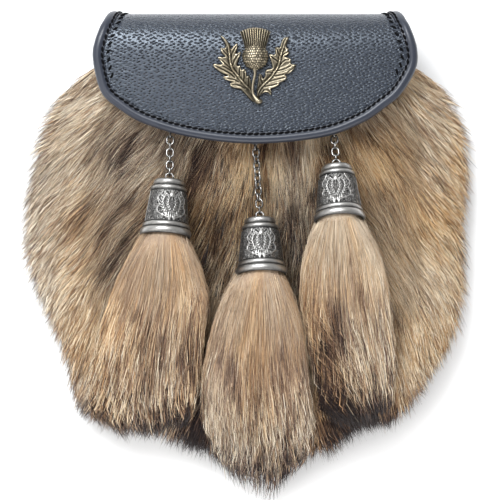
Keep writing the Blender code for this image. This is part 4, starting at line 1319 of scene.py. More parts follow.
def linkTree():
    tree, given, result = newTree("linkTree", linkInputs(None))
    link = addNode(tree, "GeometryNodeObjectInfo", {"Object": given["Link"]}).outputs["Geometry"]
    placeCopies(tree, given, result, link)
    return tree


def makeLink():
    values = chainShape
    turns = fullTurn(values["linkSteps"])
    line = np.stack([np.cos(turns), np.sin(turns), 0 * turns], 1) * values["bend"]
    line[:, 0] += np.sign(line[:, 0]) * values["straight"]
    grid = tube(line, values["wire"], values["linkSides"], closed=True)
    return pointOut(newMesh("oneLink", grid.reshape(-1, 3), gridFaces(*grid.shape[:2], True, True)))


def makeChain(side, row, hanger, link, tree):
    values = chainShape
    start = values["bend"] + values["straight"] - values["cadWire"] - values["eyeWire"] - values["gap"]
    count = row["links"]
    length = 2 * start + (count - 1) * values["pitch"]
    drop = hanger.eyeTop.z - values["anchorHeight"]
    level = math.sqrt(length**2 - drop**2)
    sideways = row["anchorX"] - hanger.eyeTop.x
    along = Vector((sideways, math.sqrt(level**2 - sideways**2), -drop)).normalized()
    across = along.cross(Vector((0.0, 0.0, 1.0))).normalized()
    above = across.cross(along)
    middles, ahead, out = [], [], []
    for k in range(count):
        roll = math.radians(90.0 * (k + 1) + row["twist"] * math.sin(math.pi * k / (count - 1)))
        linkSide = across * math.cos(roll) + above * math.sin(roll)
        middles.append(hanger.eyeTop + along * (start + k * values["pitch"]))
        ahead.append(along)
        out.append(along.cross(linkSide))
    chain = newMesh("chain" + side.title(), middles, [], attributes={"ahead": ahead, "out": out},
                    smooth=False)
    runTree(chain, tree, linkInputs(link))
    replaced = [f"chain_{side}_{k + 1:02d}" for k in range(count)]
    return finishPiece(chain, "chain_steel", *replaced)


hangers = {side: Hanger(row) for side, row in tassels.items()}
oneLink = makeLink()
chainTree = linkTree()
for side, row in tassels.items():
    makeCone(side, row, hangers[side])
    makeChain(side, row, hangers[side], oneLink, chainTree)
bpy.data.objects.remove(oneLink)
print("cones and chains made")


# The pelt

pelt = {
    "top": 41.5,
    "sideLoft": 3.0,
    "tipHeight": 13.5,
    "centre": (0.0, -8.0),
    "depth": 4.2,  # from the tips of the hair to the wool that it grows from
    "lip": 0.78,  # share of the overhang that the wool fills
    "length": 16.0,
    "rimLength": 23.0,
    "rimInset": 4.2,
    "skinZ": 36.9,
    "turns": 220,
    "partX": 12.0,  # where the hair lies straight down
    "lean": 42.0,  # degrees, the most that it leans to the sides
    "tone": 0.84,
    "beyond": 1.1,  # share of the overhang that the longest hair reaches
    "mouthY": 71.0,
}


furEdge = [
    # x, y, from the right end of the flap round the foot to the left end, and along the mouth
    (80.0, 73.0), (93.0, 57.0), (102.0, 41.0), (104.0, 18.0), (100.5, -8.0), (101.5, -34.0),
    (97.0, -60.0), (86.0, -79.0), (71.0, -100.0), (52.0, -107.0), (30.0, -119.0), (0.0, -123.0),
    (-24.0, -118.5), (-45.0, -110.0), (-68.0, -105.5), (-85.0, -96.0), (-92.0, -70.0),
    (-103.0, -46.0), (-111.0, -22.0), (-111.0, 10.0), (-105.0, 36.0), (-92.0, 62.0), (-80.0, 73.0),
    (-50.0, 72.0), (0.0, 71.0), (50.0, 72.0),
]
furPatches = [
    # x, y, half width, half length, lean in degrees, change of tone
    (-65.0, 46.6, 3.0, 7.0, -30.0, -0.5),
    (-58.8, 31.2, 3.2, 7.5, -12.0, -0.8),
    (-77.5, 4.6, 2.5, 14.0, -38.0, -0.4),
    (-71.0, -11.0, 3.5, 12.0, -25.0, -0.46),
    (-57.8, 7.0, 2.5, 13.0, -48.0, -0.55),
    (-66.0, -24.0, 3.0, 7.0, -12.0, -0.45),
    (-53.0, -4.0, 2.8, 15.0, -36.0, -0.6),
    (-27.8, 18.0, 6.0, 18.0, -18.0, -0.55),
    (-22.0, -17.5, 5.0, 26.0, -14.0, -0.46),
    (-28.3, -82.0, 5.5, 38.0, 0.0, -0.65),
    (-20.4, -107.0, 13.0, 11.0, 0.0, -0.62),
    (19.4, 7.4, 3.0, 6.0, 0.0, -0.5),
    (14.4, -3.4, 2.8, 8.0, -14.0, -0.45),
    (21.6, -30.0, 2.5, 8.0, 0.0, -0.3),
    (34.6, -67.0, 5.0, 14.0, 10.0, -0.3),
    (65.3, -44.0, 3.0, 12.0, 20.0, -0.25),
    (75.6, 27.6, 4.0, 9.0, 50.0, -0.26),
    (58.0, 12.0, 2.5, 12.0, 38.0, -0.22),
    (48.0, -98.0, 18.0, 15.0, 10.0, -0.95),
    (-85.0, -94.0, 5.0, 10.0, -20.0, -0.35),
    (-53.0, -105.0, 17.0, 6.0, -80.0, -0.45),
    # painted shadow: a darker band of fur along and under the flap's front edge
    (0.0, 34.0, 60.0, 4.5, 0.0, -0.26),
    (-82.0, 38.0, 10.0, 20.0, -35.0, 0.1),
    (-47.0, 22.0, 3.6, 11.0, -40.0, 0.22),
    (-102.0, -7.0, 8.0, 20.0, -20.0, 0.1),
    (-9.6, 16.0, 3.4, 9.0, -15.0, 0.2),
    (9.0, 22.0, 5.0, 8.0, 0.0, 0.12),
    (60.0, -19.0, 9.0, 26.0, 20.0, 0.06),
    (92.0, 12.0, 8.0, 9.0, 50.0, 0.12),
    (78.0, 42.0, 14.0, 14.0, 50.0, 0.12),
    (70.0, -80.0, 8.0, 16.0, 25.0, 0.04),
]


def byAngle(line):
    out = line - np.array(pelt["centre"])
    angle = np.arctan2(out[:, 0], out[:, 1]) % (2 * math.pi)
    order = np.argsort(angle)
    angle, reach = angle[order], np.hypot(out[:, 0], out[:, 1])[order]
    return (np.concatenate([angle - 2 * math.pi, angle, angle + 2 * math.pi]), np.tile(reach, 3))


def pouchLine(inset, topY):
    rows = [(half, y) for y, half in backEdge if y <= 66.0]
    left = [(-half, y) for half, y in rows[-2::-1]]
    above = [(rows[0][0] - 1.0, topY + 14.0)]
    line = smoothLine(above + rows + left + [(-above[0][0], above[0][1])], 12)
    line = line - leftOf(line) * inset
    return line[line[:, 1] <= topY]


furReach = byAngle(evenly(np.concatenate([smoothLine(furEdge, 12, True), [furEdge[0]]]), 700))
rim = pouchLine(pelt["rimInset"], pelt["mouthY"])
mouth = np.stack([np.linspace(rim[-1, 0], rim[0, 0], 60), np.full(60, pelt["mouthY"])], 1)
rimReach = byAngle(np.concatenate([rim, mouth]))


def polar(x, y):
    outX, outY = x - pelt["centre"][0], y - pelt["centre"][1]
    angle = np.arctan2(outX, outY) % (2 * math.pi)
    return angle, np.hypot(outX, outY)


def overhang(x, y):
    # 0 at the pouch's rim and 1 at the pelt's edge
    angle, away = polar(x, y)
    rimAway, furAway = np.interp(angle, *rimReach), np.interp(angle, *furReach)
    return np.clip((away - rimAway) / np.maximum(furAway - rimAway, 5.0), 0.0, 1.3)


def furHeight(x, y):
    side = pelt["sideLoft"] * smoothStep((np.abs(x) - 40) / 26) * smoothStep((-y + 8) / 18 + 1)
    fall = pelt["top"] - pelt["tipHeight"]
    return pelt["top"] + side - fall * np.minimum(overhang(x, y), 1.15) ** 1.6


def furFlow(x, y):
    # which way the hair lies: straight down near the middle, and fanning out to the sides
    out = (x - pelt["partX"]) / 55.0
    spreadOut = out / (1 + np.abs(out) ** 1.5) ** (2 / 3)
    high = 0.62 + 0.46 * smoothStep((y + 95) / 120) + 0.35 * smoothStep((y - 25) / 35)
    wave = 0.2 * patchNoise(x / 17.0, y / 26.0, 3) + 0.2 * patchNoise(x / 6.5, y / 12.0, 4)
    wave = wave + 0.12 * patchNoise(x / 3.0, y / 6.0, 14)
    lean = np.radians(pelt["lean"] * 1.12) * spreadOut * high + wave
    return np.sin(lean), -np.cos(lean)


def patchNoise(x, y, seed):
    # smooth random values from -1 to 1, one for each unit square
    table = np.random.RandomState(seed).uniform(-1, 1, (64, 64))
    i, j = np.floor(x).astype(int), np.floor(y).astype(int)
    u, v = smoothStep(x - i), smoothStep(y - j)

    def corner(a, b):
        return table[(i + a) % 64, (j + b) % 64]

    low = corner(0, 0) * (1 - u) + corner(1, 0) * u
    high = corner(0, 1) * (1 - u) + corner(1, 1) * u
    return low * (1 - v) + high * v


def roomAhead(x, y, flowX, flowY, longest):
    # how far the hair may run before the pelt's edge
    room = np.full(x.shape, longest)
    for step in np.linspace(longest, 4.0, 24):
        out = overhang(x + flowX * step, y + flowY * step) > pelt["beyond"]
        room = np.where(out, step, room)
    return room


def withPatches(tone, x, y, patches):
    # soft lighter and darker ovals, as rows of the patch tables
    for px, py, halfX, halfY, lean, change in patches:
        c, s = math.cos(math.radians(lean)), math.sin(math.radians(lean))
        dx, dy = x - px, y - py
        across, along = (dx * c + dy * s) / halfX, (dx * s - dy * c) / halfY
        tone = tone + change * np.exp(-0.7 * (along**2 + across**2))
    return tone


def furTone(x, y):
    flowX, flowY = furFlow(x, y)
    streamline = x + (y - 40.0) * flowX / -flowY
    between = np.exp(-(((x - 2.0) / 44.0) ** 4)) * smoothStep((y + 40.0) / 20.0)
    tone = pelt["tone"] + (0.12 + 0.6 * between) * patchNoise(streamline / 4.5, y / 24.0, 5)
    tone = tone + 0.07 * patchNoise(x / 24.0, y / 24.0, 6) + 0.04 * smoothStep((x - 40.0) / 30.0)
    return withPatches(tone - 0.1 * between, x, y, furPatches)


def furWarmth(x, y):
    return 0.5 + 0.22 * np.clip(x / 80.0, -1, 1) + 0.4 * patchNoise(x / 20.0, y / 28.0, 8)


def darkTips(x, y):
    # the share of strands with dark tips: most of them along the foot
    low = smoothStep((-70.0 - y) / 26.0)
    edge = smoothStep((overhang(x, y) - 0.35) / 0.4)
    return 0.2 + 0.62 * low + 0.3 * edge + 0.15 * patchNoise(x / 15.0, y / 15.0, 9)


def strandOffsets(x, y, z, length, loft):
    # where the hair's bend and tip lie from its root; half way it is on the coat's surface
    flowX, flowY = furFlow(x, y)
    room = np.minimum(roomAhead(x, y, flowX, flowY, 46.0), length)
    tipX, tipY = x + flowX * room, y + flowY * room
    midX, midY = x + flowX * room * 0.5, y + flowY * room * 0.5
    tipZ = furHeight(tipX, tipY) - 0.6
    midZ = np.maximum(furHeight(midX, midY), z) - 0.6 + loft
    tip = np.stack([tipX - x, tipY - y, tipZ - z], -1)
    middle = np.stack([midX - x, midY - y, midZ - z], -1)
    return tip * mm, (2 * middle - 0.5 * tip) * mm


def peltGuide():
    # a closed cushion of wool: the upper side out to the lip, and back under it to the rim
    count = pelt["turns"]
    angles = fullTurn(count)
    rimAway, furAway = np.interp(angles, *rimReach), np.interp(angles, *furReach)
    lip = rimAway + pelt["lip"] * np.maximum(furAway - rimAway, 0.0)
    shares = np.concatenate([[0.01], np.linspace(0.05, 0.7, 30), np.linspace(0.74, 1.0, 14)])
    rings, lengths, thick, lofts = [], [], [], []

    def ringAt(away):
        return (pelt["centre"][0] + away * np.sin(angles), pelt["centre"][1] + away * np.cos(angles))

    for share in shares:
        x, y = ringAt(lip * share)
        z = np.maximum(furHeight(x, y) - pelt["depth"], 12.5)
        z = z - 0.8 * (0.5 + 0.5 * patchNoise(x / 9.0, y / 14.0, 12))
        rings.append(np.stack([x, y, z], 1))
        longer = (pelt["rimLength"] - pelt["length"]) * smoothStep((share - 0.6) / 0.3)
        lengths.append(np.full(count, pelt["length"]) + longer)
        edge = 1.0 + 0.7 * smoothStep((share - 0.62) / 0.25)
        thick.append(np.where((y > 58) & (np.abs(x) < 72), 0.3, edge))
        lofts.append(np.full(count, 0.6))
    for share in (0.97, 0.85, 0.7, 0.5, 0.3, 0.0):
        x, y = ringAt(rimAway + (lip - rimAway) * share)
        level = pelt["skinZ"] - 1.4
        z = level - (level - pelt["tipHeight"] + 1.0) * overhang(x, y) ** 0.9 - 1.0
        rings.append(np.stack([x, y, z], 1))
        lengths.append(np.full(count, 26.0))
        thick.append(np.where((y > 50) & (np.abs(x) < 72), 0.0, 0.6))
        lofts.append(np.full(count, -0.6))
    points = np.concatenate(rings)
    x, y, z = points.T
    tip, bend = strandOffsets(x, y, z, np.concatenate(lengths), np.concatenate(lofts))
    attributes = {
        "tipOffset": tip,
        "bendOffset": bend,
        "tone": furTone(x, y),
        "warm": furWarmth(x, y),
        "tipDark": darkTips(x, y),
        "darkFrom": np.full(len(x), 0.33),
        "stout": 1.0 + 0.9 * smoothStep((overhang(x, y) - 0.4) / 0.35),
        "loose": 1.0 + 0.25 * patchNoise(x / 9.0, y / 9.0, 10),
        "thick": np.concatenate(thick),
    }
    guide = newMesh("peltGuide", points, gridFaces(len(rings), count, wrap=True), wool, attributes)
    with opened(guide) as bm:
        # it is open at its rim and centre, so its first face says which way is out
        bmesh.ops.recalc_face_normals(bm, faces=bm.faces)
        bm.faces.ensure_lookup_table()
        if bm.faces[0].normal.z < 0:
            bmesh.ops.reverse_faces(bm, faces=bm.faces)
    return guide


def keptPart(guide, name, kept):
    # a copy of a guide with only the faces that are kept
    part = copied(guide, name)
    with opened(part) as bm:
        gone = [face for face in bm.faces if not kept[face.index]]
        bmesh.ops.delete(bm, geom=gone, context="FACES")
    return part


furSettings = {
    "density": 960000.0,  # strands to the square metre
    "width": 0.13,
    "clumps": 90000.0,
    "pull": 0.42,
    "spread": 2.8,
    "shortest": 0.5,
    "toneSpread": 0.44,
    "clumpTone": 0.16,
}
flatSettings = {
    # straight, finer hair, where the coat is flat
    "density": 1900000.0,
    "width": 0.12,
    "clumps": 110000.0,
    "pull": 0.4,
    "spread": 2.8,
    "shortest": 0.5,
    "toneSpread": 0.54,
    "clumpTone": 0.2,
}
peltParts = [
    # name, from x, to x, on the flat part
    ("furMiddleLeft", -200.0, 0.0, True),
    ("furMiddleRight", 0.0, 200.0, True),
    ("furLeft", -200.0, -52.0, False),
    ("furInnerLeft", -52.0, -2.0, False),
    ("furInnerRight", -2.0, 48.0, False),
    ("furRight", 48.0, 200.0, False),
]


def onFlat(x, y):
    # the hair that grows here ends before the coat curves down
    flowX, flowY = furFlow(x, y)
    reach = pelt["length"] * 1.05
    return overhang(x + flowX * reach, y + flowY * reach) < 0.36


def closeHoles(thing):
    with opened(thing) as bm:
        bmesh.ops.holes_fill(bm, edges=[edge for edge in bm.edges if edge.is_boundary], sides=0)


def makePelt():
    guide = peltGuide()
    x, y, z = np.array([tuple(face.center / mm) for face in guide.data.polygons]).T
    isFlat = onFlat(x, y) & (z > pelt["top"] - pelt["depth"] - 3.0)
    for number, (name, start, end, flat) in enumerate(peltParts):
        region = keptPart(guide, name + "Guide", (x >= start) & (x < end) & (isFlat == flat))
        settings, segments = (flatSettings, 1) if flat else (furSettings, 2)
        strands = growStrands(name, region, 11 + 10 * number, settings, segments)
        bpy.data.objects.remove(region)
        finishPiece(strands, "fur", "fur_coat")
    dropLayers(guide, guideLayers)
    guide.name = "peltWool"
    closeHoles(guide)
    finishPiece(guide, "fur", "fur_coat")


makePelt()
print("pelt made")


# The tassels

hairShape = {
    "headDepth": 19.0,
    "headRadius": 9.0,
    "mouthRadius": 10.7,
    "lift": 3.6,
    "sides": 48,
    "rows": 72,
    "coreRows": 66,
    "inset": 1.0,
    "footInset": 3.2,
    "strand": 32.0,
    "beyond": 8.0,
    "darkFoot": 12.0,
    # share of the way down, value
    "loose": [(0, 0.18), (0.25, 0.25), (0.45, 0.85), (0.8, 1.2), (1, 1.3)],
    "tipDark": [(0, 0.0), (0.5, 0.15), (0.7, 0.6), (1, 0.92)],
}
tasselSettings = {
    "density": 910000.0,
    "width": 0.155,
    "clumps": 100000.0,
    "pull": 0.45,
    "spread": 2.3,
    "shortest": 0.5,
    "toneSpread": 0.5,
    "clumpTone": 0.24,
}


def tasselLines(hanger, row):
    # lines from inside the cone to the tips, one for each turn round the tassel
    turns = fullTurn(hairShape["sides"])
    rings = []
    for depth, radius in ((hairShape["headDepth"], hairShape["headRadius"]),
                          (coneShape["height"], hairShape["mouthRadius"])):
        centre = np.array(hanger.top + hanger.axis * depth)
        rings.append(centre + radius * (np.outer(np.cos(turns), np.array(hanger.side))
                                        + np.outer(np.sin(turns), np.array(hanger.face))))
    for y, left, right, lift, thickness in row["hair"]:
        x = (left + right) / 2 - (right - left) / 2 * np.cos(turns)
        foot = np.maximum(furHeight(x, np.full_like(x, y)) + hairShape["lift"], lift)
        rings.append(np.stack([x, np.full_like(x, y), foot + thickness / 2 * (1 + np.sin(turns))], 1))
    y, left, right, lift, thickness = row["hair"][-1]
    reach = row["tipY"] - y
    for share, thin in ((0.5, 0.8), (1.0, 0.5)):
        x = (left + right) / 2 - (right - left) / 2 * np.cos(turns) * (1.02 - 0.12 * share)
        lineY = y + reach * share * (1 - row["pointed"] * np.cos(turns) ** 2)
        foot = furHeight(x, lineY) + hairShape["lift"]
        rings.append(np.stack([x, lineY, foot + thickness * thin / 2 * (1 + np.sin(turns))], 1))
    lines = np.stack(rings, 1)
    return np.stack([evenly(smoothLine(line, 10), hairShape["rows"]) for line in lines], 1)


def tasselOffsets(grid, core, outward, share, row):
    # where each strand's tip and bend lie from its root, and where along it a dark tip begins
    tip, bend, darkFrom = np.zeros_like(core), np.zeros_like(core), np.ones(core.shape[:2])
    sides = core.shape[1]
    sweep = row["sweep"] * smoothStep((share - 0.3) / 0.2)
    atFoot = smoothStep((share - 0.7) / 0.2)
    ragged = patchNoise(np.arange(sides) * 0.45, np.zeros(sides), row["seed"] + 2)
    for j in range(sides):
        line = grid[:, j]
        beyond = hairShape["beyond"] * (1 + 0.9 * ragged[j])
        reach = reachOf(line)
        foot = (line[-1] - line[-5]) / (reach[-1] - reach[-5])

        def placeAt(run):
            place = np.array([np.interp(run, reach, line[:, k]) for k in range(3)])
            return place + foot * max(run - reach[-1], 0.0)

        for i in range(len(core)):
            longest = reach[-1] - 3.0 + (beyond + 3.0) * atFoot[i] + 4.0 * ragged[j] * (1 - atFoot[i])
            wanted = min(reach[i] + hairShape["strand"], longest)
            darkLine = longest - hairShape["darkFoot"]
            darkFrom[i, j] = np.clip((darkLine - reach[i]) / (wanted - reach[i]), 0.0, 0.98)
            end = placeAt(wanted)
            end[0] += sweep[i] * (0.5 + 0.5 * math.cos(2 * math.pi * j / sides)) * (wanted - reach[i])
            onLine = placeAt((reach[i] + wanted) / 2) + outward[i, j] * 0.4
            tip[i, j] = end - core[i, j]
            bend[i, j] = 2 * (onLine - core[i, j]) - 0.5 * tip[i, j]
    return tip, bend, darkFrom


def tasselGuide(side, hanger, row):
    grid = tasselLines(hanger, row)
    rows, sides = grid.shape[:2]
    outward = grid - grid.mean(1, keepdims=True)
    outward /= np.linalg.norm(outward, axis=2)[..., None] + 1e-9
    coreRows = hairShape["coreRows"]
    share = np.linspace(0, 1, rows)
    inset = hairShape["inset"] + (hairShape["footInset"] - hairShape["inset"]) * smoothStep(
        (share - 0.55) / 0.3)
    core = (grid - outward * inset[:, None, None])[:coreRows]
    tip, bend, darkFrom = tasselOffsets(grid, core, outward, share, row)
    share = share[:coreRows]
    turns = fullTurn(sides)

    def allRound(values):
        return np.repeat(values[:, None], sides, 1)

    def alongHair(stops):
        return allRound(np.interp(share, *zip(*stops)))

    loose, tone = alongHair(hairShape["loose"]), alongHair(row["tones"])
    streaks = patchNoise(turns[None, :] * 3.8 + row["seed"], share[:, None] * 3.0, row["seed"])
    tone = tone + 0.17 * streaks * loose - 0.45 * smoothStep((share[:, None] - 0.76) / 0.15)
    tone = withPatches(tone, core[..., 0], core[..., 1], row["patches"])
    warm = alongHair(row["warmth"])
    warm = warm + 0.25 * patchNoise(turns[None, :] * 2.0, share[:, None] * 2.0, row["seed"] + 1)
    thick = np.ones((coreRows, sides))
    thick[:4] = 0.25
    thick *= np.where(np.sin(turns) < -0.5, 0.45, 1.0)[None, :]
    attributes = {
        "tipOffset": tip.reshape(-1, 3) * mm,
        "bendOffset": bend.reshape(-1, 3) * mm,
        "tone": tone.ravel(),
        "warm": warm.ravel(),
        "tipDark": alongHair(hairShape["tipDark"]).ravel(),
        "darkFrom": darkFrom.ravel(),
        "stout": allRound(1.0 + 0.7 * smoothStep((share - 0.6) / 0.25)).ravel(),
        "loose": loose.ravel(),
        "thick": thick.ravel(),
    }
    guide = newMesh(side + "TasselGuide", core.reshape(-1, 3),
                    gridFaces(coreRows, sides, wrap=True), wool, attributes)
    closeHoles(guide)
    return pointOut(guide, merge=False)


def makeTassel(side, hanger, row):
    guide = tasselGuide(side, hanger, row)
    strands = growStrands("tasselHair" + side.title(), guide, row["seed"], tasselSettings)
    finishPiece(strands, "tassel_hair", "tassel_hair_" + side)
    dropLayers(guide, guideLayers)
    guide.name = "tasselCore" + side.title()
    finishPiece(guide, "tassel_hair", "tassel_hair_" + side)


for side, row in tassels.items():
    makeTassel(side, hangers[side], row)
print("tassels made")


# The thistle badge

badge = {
    "plate": 1.0,
    "crown": 52.5,
    "level": 0.75,
    "gap": 0.3,
    "step": 0.34,  # between the points of a leaf's surface
    "headCentre": (0.1, 73.0),
    "headRadius": 6.05,
    "headHeight": 4.4,
    "headRows": 15,
    "headScales": 32,
    "tuftFootY": 77.6,
    "tuftTopY": 84.9,
    "tuftFootHalf": 4.6,
    "tuftTopHalf": 7.2,
    "tuftRibs": 12,
    "footCentre": (1.7, 51.7),
    "footHalf": (2.0, 1.4, 1.7),
}
leaves = {
    "left": {
        "outline": [
            (1.2, 50.6), (-0.5, 51.3), (-1.9, 52.1), (-3.1, 53.3), (-4.3, 54.7), (-5.8, 56.3),
            (-7.2, 57.5), (-9.1, 57.8), (-11.0, 58.4), (-12.0, 59.4), (-11.7, 60.5), (-10.3, 61.0),
            (-12.2, 61.3), (-14.1, 62.0), (-15.3, 63.1), (-14.6, 63.8), (-13.2, 64.1),
            (-15.6, 65.0), (-17.8, 66.4), (-19.2, 67.6), (-20.1, 69.1), (-19.0, 69.7),
            (-17.1, 69.6), (-15.6, 69.5), (-16.5, 70.8), (-17.8, 72.8), (-15.9, 73.0),
            (-14.3, 73.2), (-15.5, 74.4), (-16.4, 76.0), (-16.4, 77.4), (-15.4, 77.1),
            (-14.2, 77.6), (-14.4, 79.0), (-15.4, 81.0), (-16.7, 82.8), (-16.2, 83.4),
            (-14.8, 82.3), (-13.2, 80.8), (-11.9, 78.9), (-11.4, 76.9), (-10.3, 78.0),
            (-8.5, 79.5), (-8.3, 78.0), (-8.6, 76.1), (-9.2, 74.6), (-8.0, 74.9), (-6.6, 75.5),
            (-7.0, 73.9), (-7.8, 71.7), (-8.6, 69.3), (-7.9, 68.7), (-6.9, 68.9), (-6.5, 67.0),
            (-5.8, 67.1), (-4.9, 67.4), (-4.1, 65.5), (-3.7, 63.8), (-2.9, 64.4), (-2.2, 62.6),
            (-1.7, 60.2), (-1.7, 57.6), (-1.4, 54.7), (0.0, 52.8),
        ],
        "midrib": [
            (-0.2, 53.0), (-2.4, 57.1), (-4.3, 59.0), (-6.2, 61.2), (-7.7, 63.1), (-9.1, 65.0),
            (-10.6, 67.0), (-11.5, 69.1), (-12.0, 71.5), (-12.2, 73.9), (-12.5, 76.3),
            (-13.0, 78.5), (-14.2, 80.6), (-15.8, 82.6),
        ],
        "veins": [
            [(-11.3, 59.9), (-9.1, 59.8), (-6.7, 59.1), (-4.8, 58.0)],
            [(-14.5, 62.9), (-12.5, 62.6), (-9.6, 61.9), (-7.7, 61.0)],
            [(-19.2, 68.7), (-17.3, 67.9), (-14.9, 66.7), (-12.0, 65.1), (-9.6, 63.1)],
            [(-15.4, 68.7), (-13.4, 67.6), (-11.0, 66.0)],
            [(-16.9, 72.2), (-15.4, 70.8), (-13.4, 69.1), (-11.5, 67.4)],
            [(-15.9, 76.7), (-14.6, 75.2), (-13.4, 73.9), (-12.2, 72.7)],
            [(-8.8, 78.3), (-10.1, 76.3), (-11.0, 74.4), (-11.6, 72.0)],
            [(-7.5, 74.4), (-8.9, 72.8), (-10.0, 71.0), (-10.8, 68.6)],
            [(-7.2, 67.7), (-7.4, 66.0), (-7.4, 64.1)],
            [(-5.1, 66.2), (-5.1, 63.8), (-5.4, 61.4)],
            [(-2.9, 63.0), (-3.0, 61.0), (-3.1, 58.6)],
        ],
    },
    "right": {
        "outline": [
            (2.0, 51.6), (2.1, 53.9), (3.4, 55.2), (4.6, 55.9), (6.0, 55.8), (7.6, 54.7),
            (7.9, 56.2), (7.7, 57.6), (9.4, 58.2), (11.0, 59.1), (11.9, 60.4), (13.4, 61.2),
            (14.8, 62.2), (15.2, 63.6), (14.4, 64.4), (16.3, 65.1), (18.0, 66.4), (19.6, 68.9),
            (18.4, 69.5), (17.2, 69.8), (17.3, 71.2), (16.4, 72.4), (15.0, 73.0), (14.1, 73.3),
            (15.6, 73.8), (16.4, 75.1), (15.6, 75.8), (16.3, 76.7), (15.0, 77.5), (15.2, 79.0),
            (15.7, 80.6), (16.1, 82.3), (15.0, 82.7), (13.7, 82.0), (12.8, 80.6), (12.2, 78.7),
            (11.8, 77.5), (10.8, 77.6), (9.8, 77.4), (9.6, 75.8), (9.4, 74.2), (8.0, 74.2),
            (6.6, 74.0), (7.2, 72.0), (7.9, 69.6), (8.1, 67.6), (6.9, 67.4), (5.5, 67.0),
            (4.8, 65.7), (4.7, 63.8), (3.7, 62.6), (3.1, 64.5), (2.1, 65.0), (1.5, 62.9),
            (1.2, 60.5), (0.8, 58.1), (0.7, 55.7), (1.0, 53.2),
        ],
        "midrib": [
            (1.1, 54.2), (1.7, 56.4), (2.8, 58.3), (4.5, 60.2), (6.3, 61.9), (7.9, 63.6),
            (9.1, 65.5), (10.3, 67.2), (11.2, 69.1), (11.7, 71.0), (12.1, 73.0), (12.8, 75.4),
            (13.7, 78.2), (14.4, 80.2), (15.5, 81.8),
        ],
        "veins": [
            [(2.8, 55.2), (4.3, 57.1), (6.5, 57.1), (7.5, 55.9)],
            [(4.6, 58.8), (7.2, 59.3), (10.6, 60.0)],
            [(7.0, 61.3), (10.1, 62.2), (14.2, 63.2)],
            [(9.4, 63.8), (12.5, 64.4), (15.4, 65.3), (17.8, 67.2), (19.1, 68.6)],
            [(10.6, 66.3), (12.5, 66.7), (14.9, 67.5), (17.0, 68.7)],
            [(11.8, 69.0), (13.0, 70.3), (14.4, 71.5), (16.1, 71.5)],
            [(12.5, 72.8), (13.9, 74.3), (15.8, 75.4)],
            [(11.5, 73.9), (10.8, 75.6), (10.2, 76.8)],
            [(10.8, 70.8), (8.9, 72.2), (7.4, 73.4)],
            [(8.4, 65.3), (6.7, 65.7), (5.5, 65.5)],
            [(3.6, 60.3), (2.9, 62.4), (2.4, 64.1)],
        ],
    },
}
badgeStem = [(-0.2, 67.4), (0.0, 64.8), (-0.5, 62.4), (-1.0, 60.0), (-1.2, 57.6), (-1.0, 55.4),
             (0.0, 53.6), (1.2, 52.1)]


def boundaryEdges(faces):
    pairs = {(a, b) for face in faces for a, b in zip(face, face[1:] + face[:1])}
    return [pair for pair in pairs if (pair[1], pair[0]) not in pairs]


def brassPart(name, points, faces, shade):
    return newMesh(name, points, faces, antiqueBrass, {"relief": shade})


def ballTurns(rows, columns, margin):
    # up and round a ball that is open at its poles
    lat = np.linspace(-math.pi / 2 + margin, math.pi / 2 - margin, rows)
    return lat[:, None], fullTurn(columns)[None, :]


def withFoot(name, top, faces, shade, level):
    # a surface, the wall round its edge and a flat foot
    points, shades, allFaces = [tuple(point) for point in top], list(shade), list(faces)
    after = dict(sorted(boundaryEdges(faces)))
    while after:
        loop = [min(after)]
        while after[loop[-1]] != loop[0]:
            loop.append(after[loop[-1]])
        first, count = len(points), len(loop)
        for k, vertex in enumerate(loop):
            del after[vertex]
            points.append((*top[vertex][:2], level))
            shades.append(0.0)
            allFaces.append((loop[(k + 1) % count], vertex, first + k, first + (k + 1) % count))
        allFaces.append(tuple(range(first + count - 1, first - 1, -1)))
    return brassPart(name, points, allFaces, shades)


def leafMesh(name, leaf):
    # a leaf between its outline and a grid of inner points, raised at its rim and midrib
    outline = evenly(smoothLine(leaf["outline"] + leaf["outline"][:1], 5), 420)[:-1]
    low, high = outline.min(0), outline.max(0)
    step = badge["step"]
    inner = np.array([(x + (step / 2 if row % 2 else 0), y)
                      for row, y in enumerate(np.arange(low[1], high[1], step))
                      for x in np.arange(low[0], high[0], step)])
    edge = np.concatenate([outline, outline[:1]])
    inner = inner[toPolyline(inner[:, 0], inner[:, 1], edge) > 0.18]
    count = len(outline)
    edges = [(k, (k + 1) % count) for k in range(count)]
    points = [Vector(point) for point in np.concatenate([outline, inner])]
    verts, _, faces, *_ = delaunay_2d_cdt(points, edges, [], 1, 1e-5)
    x, y = np.array([tuple(v) for v in verts]).T
    away = toPolyline(x, y, edge)
    ribAway = toPolyline(x, y, smoothLine(leaf["midrib"], 8))
    veinAway = np.min([toPolyline(x, y, np.array(vein)) for vein in leaf["veins"]], 0)
    stemAway = toPolyline(x, y, np.array(badgeStem))
    dome = np.sqrt(np.clip(away / 0.7, 0, 1))
    rim = np.exp(-((away - 0.5) / 0.35) ** 2)
    rib = np.sqrt(np.clip(1 - (ribAway / 0.36) ** 2, 0, 1))
    ribGroove = np.exp(-((ribAway - 0.66) / 0.26) ** 2)
    groove = np.exp(-((veinAway / 0.24) ** 2))
    fold = np.exp(-(((veinAway - 0.62) / 0.3) ** 2))
    height = (badge["plate"] - 0.3 + 0.8 * dome + 0.35 * rim + 0.9 * rib - 0.55 * ribGroove
              - 0.55 * groove + 0.3 * fold)
    shade = 0.1 + 0.25 * dome + 0.45 * rim + 0.6 * rib + 0.35 * fold - 0.5 * ribGroove - 0.6 * groove
    shade = np.clip(shade, 0, 1) * (1 - 0.7 * np.exp(-((stemAway / 4.3) ** 2)))
    return withFoot(name, np.stack([x, y, height], 1), [tuple(face) for face in faces], shade, 0.05)


